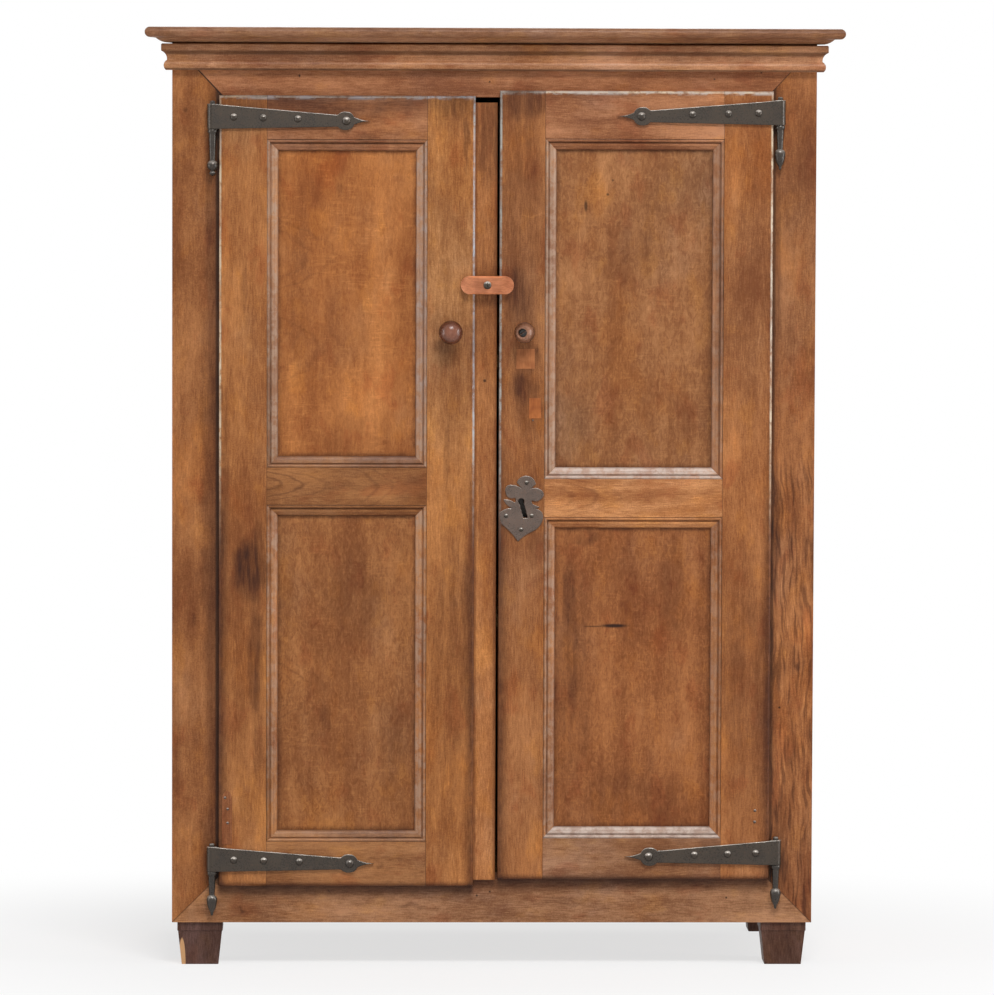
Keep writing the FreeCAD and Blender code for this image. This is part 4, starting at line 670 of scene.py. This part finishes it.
# The inside, the back and the feet.
BACK_JOINTS = (-276, -84, 108, 300)
BARE_OAK, DARK_OAK, FRESH_OAK = srgb(152, 116, 82), srgb(82, 54, 43), srgb(206, 158, 112)
for name, axis in (("back_boards", "z"), ("back_rails", "x"), ("floor_boards", "x"), ("lower_shelf", "x"),
                   ("upper_shelf", "x"), ("shelf_cleats", "y")):
    oak = Oak(name + "_bare", axis, BARE_OAK, "stile", 0.5, rough=0.7)
    if name == "back_boards":
        oak.boards(BACK_JOINTS)
    dress(name, oak.finish(coat=0.0), BARE_ARRIS)
for name in ("front_feet", "rear_feet"):
    oak = Oak(name + "_dark", "z", DARK_OAK, rough=0.5)
    if name == "front_feet":
        oak.chip(-465, 0, 5.5, 42, FRESH_OAK)
    dress(name, oak.finish(), FOOT_ARRIS)

# Ironwork, knobs and the turn button.
IRON = iron("forged_iron", srgb(60, 49, 37), 0.3, 0.95)
PIN_IRON = iron("pin_iron", srgb(54, 46, 38), 0.3, 0.4)
PLATE_IRON = iron("plate_iron", srgb(100, 82, 71), 0.7, 0.7)
DARK_IRON = iron("dark_iron", srgb(38, 36, 33), 0.2, 0.3)
for name in ("upper_left", "lower_left", "upper_right", "lower_right"):
    dress(name + "_strap", IRON)
    dress(name + "_pintle", PIN_IRON)
for name in ("left_door_nails", "right_door_nails", "button_screw", "lock_case", "lock_bolt"):
    dress(name, IRON)
dress("escutcheon", PLATE_IRON, PLATE_ARRIS)
for name, colour, start in (("left_knob", srgb(132, 80, 58), 0.35), ("right_knob", srgb(145, 100, 75), 0.6)):
    dress(name, fruitwood(name + "_wood", colour, "z", 0.26, 0.3, (name, KNOB_EDGE_SHADE, start)))
button_edge = ("turn_button", END_HIGHLIGHT, 0.6)
button_wood = fruitwood("button_wood", srgb(182, 112, 74), "x", 0.35, 0.1, button_edge, highlight_slopes=True)
dress("turn_button", button_wood, BUTTON_ARRIS)


# Repairs and small fastenings that are not in the frame.
def add_piece(name, body, build, finish):
    """A new piece from a bmesh in place, riding on a body."""
    mesh = bpy.data.meshes.new(name)
    bmesh.ops.recalc_face_normals(build, faces=build.faces)
    build.to_mesh(mesh)
    build.free()
    mesh.materials.append(finish)
    piece = bpy.data.objects.new(name, mesh)
    scene.collection.objects.link(piece)
    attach(piece, body)
    return piece


def prism(build, outline, thick, matrix):
    """A flat plate: an outline in its own x and y, in metres, carried through thick along its z."""
    low, high = ([build.verts.new(matrix @ Vector((x, y, z))) for x, y in outline] for z in (0.0, thick))
    build.faces.new(low)
    build.faces.new(high)
    for n in range(len(low)):
        m = (n + 1) % len(low)
        build.faces.new((low[n], low[m], high[m], high[n]))


def stud(build, radius, matrix, rings=4, steps=20):
    """A hammered nail head: a dome that stands on its z axis."""
    height = 0.55 * radius
    centre = build.verts.new(matrix @ Vector((0.0, 0.0, height)))
    inner = None
    for ring in range(1, rings + 1):
        lean = 0.5 * math.pi * ring / rings
        reach = radius * math.sin(lean)
        outer = []
        for step in range(steps):
            turn = 2.0 * math.pi * step / steps
            spot = (reach * math.cos(turn), reach * math.sin(turn), height * math.cos(lean))
            outer.append(build.verts.new(matrix @ Vector(spot)))
        for n in range(steps):
            m = (n + 1) % steps
            corners = (inner[n], outer[n], outer[m], inner[m]) if inner else (centre, outer[n], outer[m])
            build.faces.new(corners)
        inner = outer
    build.faces.new(inner)


def on_door(x, z, proud):
    """A place on the doors' front, in mm, whose z axis points out of the door."""
    seat = Matrix.Translation((mm(x), DOOR_Y - mm(proud), mm(z)))
    return seat @ Matrix.Rotation(math.pi / 2.0, 4, "X")


# Two patches let into the right meeting stile, a little out of true: x0, x1, z0, z1 in mm, and the colour.
LET_IN = 0.8
PATCH_THICKNESS = 0.0012
PATCHES = ((33.0, 60.5, 897.0, 927.0, srgb(164, 100, 57)), (52.0, 70.0, 823.0, 853.5, srgb(166, 95, 46)))
for number, (x0, x1, z0, z1, colour) in enumerate(PATCHES):
    wide, high = mm(x1 - x0) / 2.0, mm(z1 - z0) / 2.0
    outline = ((-wide, -high), (wide, -0.97 * high), (0.97 * wide, high), (-0.98 * wide, 0.98 * high))
    build = bmesh.new()
    prism(build, outline, PATCH_THICKNESS, on_door((x0 + x1) / 2.0, (z0 + z1) / 2.0, -LET_IN))
    name = "stile_patch_%d" % (number + 1)
    wood = fruitwood(name + "_wood", colour, "z", 0.55, 0.0)
    soften(add_piece(name, "right_door", build, wood), PATCH_ARRIS)

# The repair piece with a round head, low on the left door's edge, in mm.
ARC_STEPS = 16
REPAIR_X = -397.5
REPAIR_HALF_WIDTH = 7.5
REPAIR_FOOT, REPAIR_SHOULDER, REPAIR_RISE = 184.0, 250.0, 14.0
REPAIR_THICKNESS = 0.0018
outline = [(-REPAIR_HALF_WIDTH, REPAIR_FOOT), (REPAIR_HALF_WIDTH, REPAIR_FOOT)]
for step in range(ARC_STEPS + 1):
    turn = math.pi * step / ARC_STEPS
    outline.append((REPAIR_HALF_WIDTH * math.cos(turn), REPAIR_SHOULDER + REPAIR_RISE * math.sin(turn)))
build = bmesh.new()
prism(build, [(mm(x), mm(z)) for x, z in outline], REPAIR_THICKNESS, on_door(REPAIR_X, 0.0, -LET_IN))
repair_wood = Oak("edge_repair_oak", "z", srgb(140, 86, 52), "stile", 0.4).finish()
soften(add_piece("edge_repair", "left_door", build, repair_wood), REPAIR_ARRIS)

# Loose nail heads: x, z and radius in mm. Those of the left door stand on the repair piece.
STUDS = {"left_door": ((-400.5, 254.0, 2.1), (-396.5, 237.0, 2.1), (-396.5, 216.0, 2.1)),
         "right_door": ((393.4, 235.0, 2.2), (393.0, 218.0, 2.2), (58.0, 820.0, 1.4))}
STUDS_PROUD = {"left_door": 0.9, "right_door": -0.1}
for body, spots in STUDS.items():
    build = bmesh.new()
    for x, z, radius in spots:
        stud(build, mm(radius), on_door(x, z, STUDS_PROUD[body]))
    piece = add_piece(body + "_studs", body, build, PLATE_IRON)
    piece.data.polygons.foreach_set("use_smooth", [True] * len(piece.data.polygons))

# The slotted head of the screw that holds the right knob, in two halves on the floor of the knob's hollow.
KNOB_FOOT = (0.050, DOOR_Y, 0.952)
KNOB_LEAN = math.radians(15.0)
KNOB_AXIS = Vector((-math.sin(KNOB_LEAN), -math.cos(KNOB_LEAN), 0.0))
HOLLOW_FLOOR = 0.0294
HEAD_RADIUS, HEAD_HEIGHT, HEAD_SLOT, HEAD_TURN = 0.0060, 0.0020, 0.0007, 0.6
facing = KNOB_AXIS.to_track_quat("Z", "Y").to_matrix().to_4x4()
start = math.asin(HEAD_SLOT / HEAD_RADIUS)
bow = [start + (math.pi - 2.0 * start) * n / ARC_STEPS for n in range(ARC_STEPS + 1)]
outline = [(HEAD_RADIUS * math.cos(a), HEAD_RADIUS * math.sin(a)) for a in bow]
seat = Matrix.Translation(Vector(KNOB_FOOT) + HOLLOW_FLOOR * KNOB_AXIS)
build = bmesh.new()
for turn in (HEAD_TURN, HEAD_TURN + math.pi):
    prism(build, outline, HEAD_HEIGHT, seat @ facing @ Matrix.Rotation(turn, 4, "Z"))
soften(add_piece("knob_screw_head", "right_door", build, DARK_IRON), SCREW_ARRIS)


def seen_directly(shade):
    """1 for rays from the camera, a mirror or glass, to which floor and world show as white."""
    ray = shade.add("LightPath").outputs
    through = shade.calc("MAXIMUM", ray["Is Glossy Ray"], ray["Is Transmission Ray"])
    return shade.calc("MAXIMUM", ray["Is Camera Ray"], through)


# The floor shows some of its own shading near the cupboard, and is white farther off.
FLOOR_HALF = 9.0
WHITE, PALE = (1.0, 1.0, 1.0, 1.0), (0.9, 0.9, 0.9, 1.0)
floor_mesh = bpy.data.meshes.new("floor")
build = bmesh.new()
bmesh.ops.create_grid(build, x_segments=1, y_segments=1, size=FLOOR_HALF)
build.to_mesh(floor_mesh)
build.free()
floor = bpy.data.objects.new("floor", floor_mesh)
scene.collection.objects.link(floor)
pale, shade = material("pale_floor")
seen = seen_directly(shade)
spot = shade.vector("MULTIPLY", shade.add("TexCoord").outputs["Object"], (1.0, 1.5, 0.0))
glow = shade.span(shade.vector("LENGTH", spot), 0.5, 1.6, 0.7, 1.0)
matt = shade.add("BsdfDiffuse", {"Color": PALE})
white = shade.add("Emission", {"Color": WHITE, "Strength": 1.0})
blend = shade.add("MixShader", (shade.calc("MULTIPLY", seen, glow), matt.outputs[0], white.outputs[0]))
shade.put(shade.add("OutputMaterial").inputs[0], blend.outputs[0])
floor_mesh.materials.append(pale)

# The world lights the shadows a little, and is white to the camera.
AMBIENT_STRENGTH, BACKDROP_STRENGTH = 0.16, 1.0
world = bpy.data.worlds.new("studio")
scene.world = world
world.use_nodes = True
shade = Shade(world.node_tree)
seen = seen_directly(shade)
ambient = shade.add("Background", {"Color": WHITE, "Strength": AMBIENT_STRENGTH})
backdrop = shade.add("Background", {"Color": WHITE, "Strength": BACKDROP_STRENGTH})
blend = shade.add("MixShader", (seen, ambient.outputs[0], backdrop.outputs[0]))
shade.put(shade.add("OutputWorld").inputs[0], blend.outputs[0])


def softbox(name, spot, aim, wide, high, power):
    """A rectangular lamp that faces a point."""
    light = bpy.data.lights.new(name, "AREA")
    light.shape = "RECTANGLE"
    light.size = wide
    light.size_y = high
    light.energy = power
    lamp = bpy.data.objects.new(name, light)
    scene.collection.objects.link(lamp)
    lamp.location = spot
    lamp.rotation_euler = (Vector(aim) - Vector(spot)).to_track_quat("-Z", "Y").to_euler()


softbox("key", (0.9, -4.6, 6.0), (0.0, -0.2, 0.75), 2.6, 1.8, 301.0)
softbox("left_strip", (-2.6, -0.9, 1.0), (0.0, -0.2, 0.7), 0.3, 1.9, 15.0)
softbox("right_strip", (2.6, -0.9, 1.0), (0.0, -0.2, 0.7), 0.3, 1.9, 27.0)
softbox("front_fill", (-0.4, -5.6, 0.9), (0.0, -0.2, 0.6), 3.0, 2.0, 10.0)
softbox("back_fill", (0.4, 4.2, 3.2), (0.0, 0.2, 0.7), 2.2, 1.6, 50.0)

# The camera, matched to the photograph: metres, degrees, and millimetres for its lens.
CAMERA_PLACE = (-0.2563, -10.0, 1.36)
CAMERA_YAW, CAMERA_PITCH, CAMERA_ROLL = (math.radians(v) for v in (-1.529, -3.830, 0.209))
FOCAL_LENGTH, SENSOR_WIDTH = 238.0, 36.0
lens = bpy.data.cameras.new("camera")
lens.sensor_fit = "HORIZONTAL"
lens.sensor_width = SENSOR_WIDTH
lens.lens = FOCAL_LENGTH
camera = bpy.data.objects.new("camera", lens)
scene.collection.objects.link(camera)
heading = Matrix.Rotation(CAMERA_YAW, 4, "Z") @ Matrix.Rotation(math.pi / 2.0 + CAMERA_PITCH, 4, "X")
turn = heading @ Matrix.Rotation(CAMERA_ROLL, 4, "Z")
camera.matrix_world = Matrix.Translation(CAMERA_PLACE) @ turn
scene.camera = camera
scene.view_settings.view_transform = "Standard"
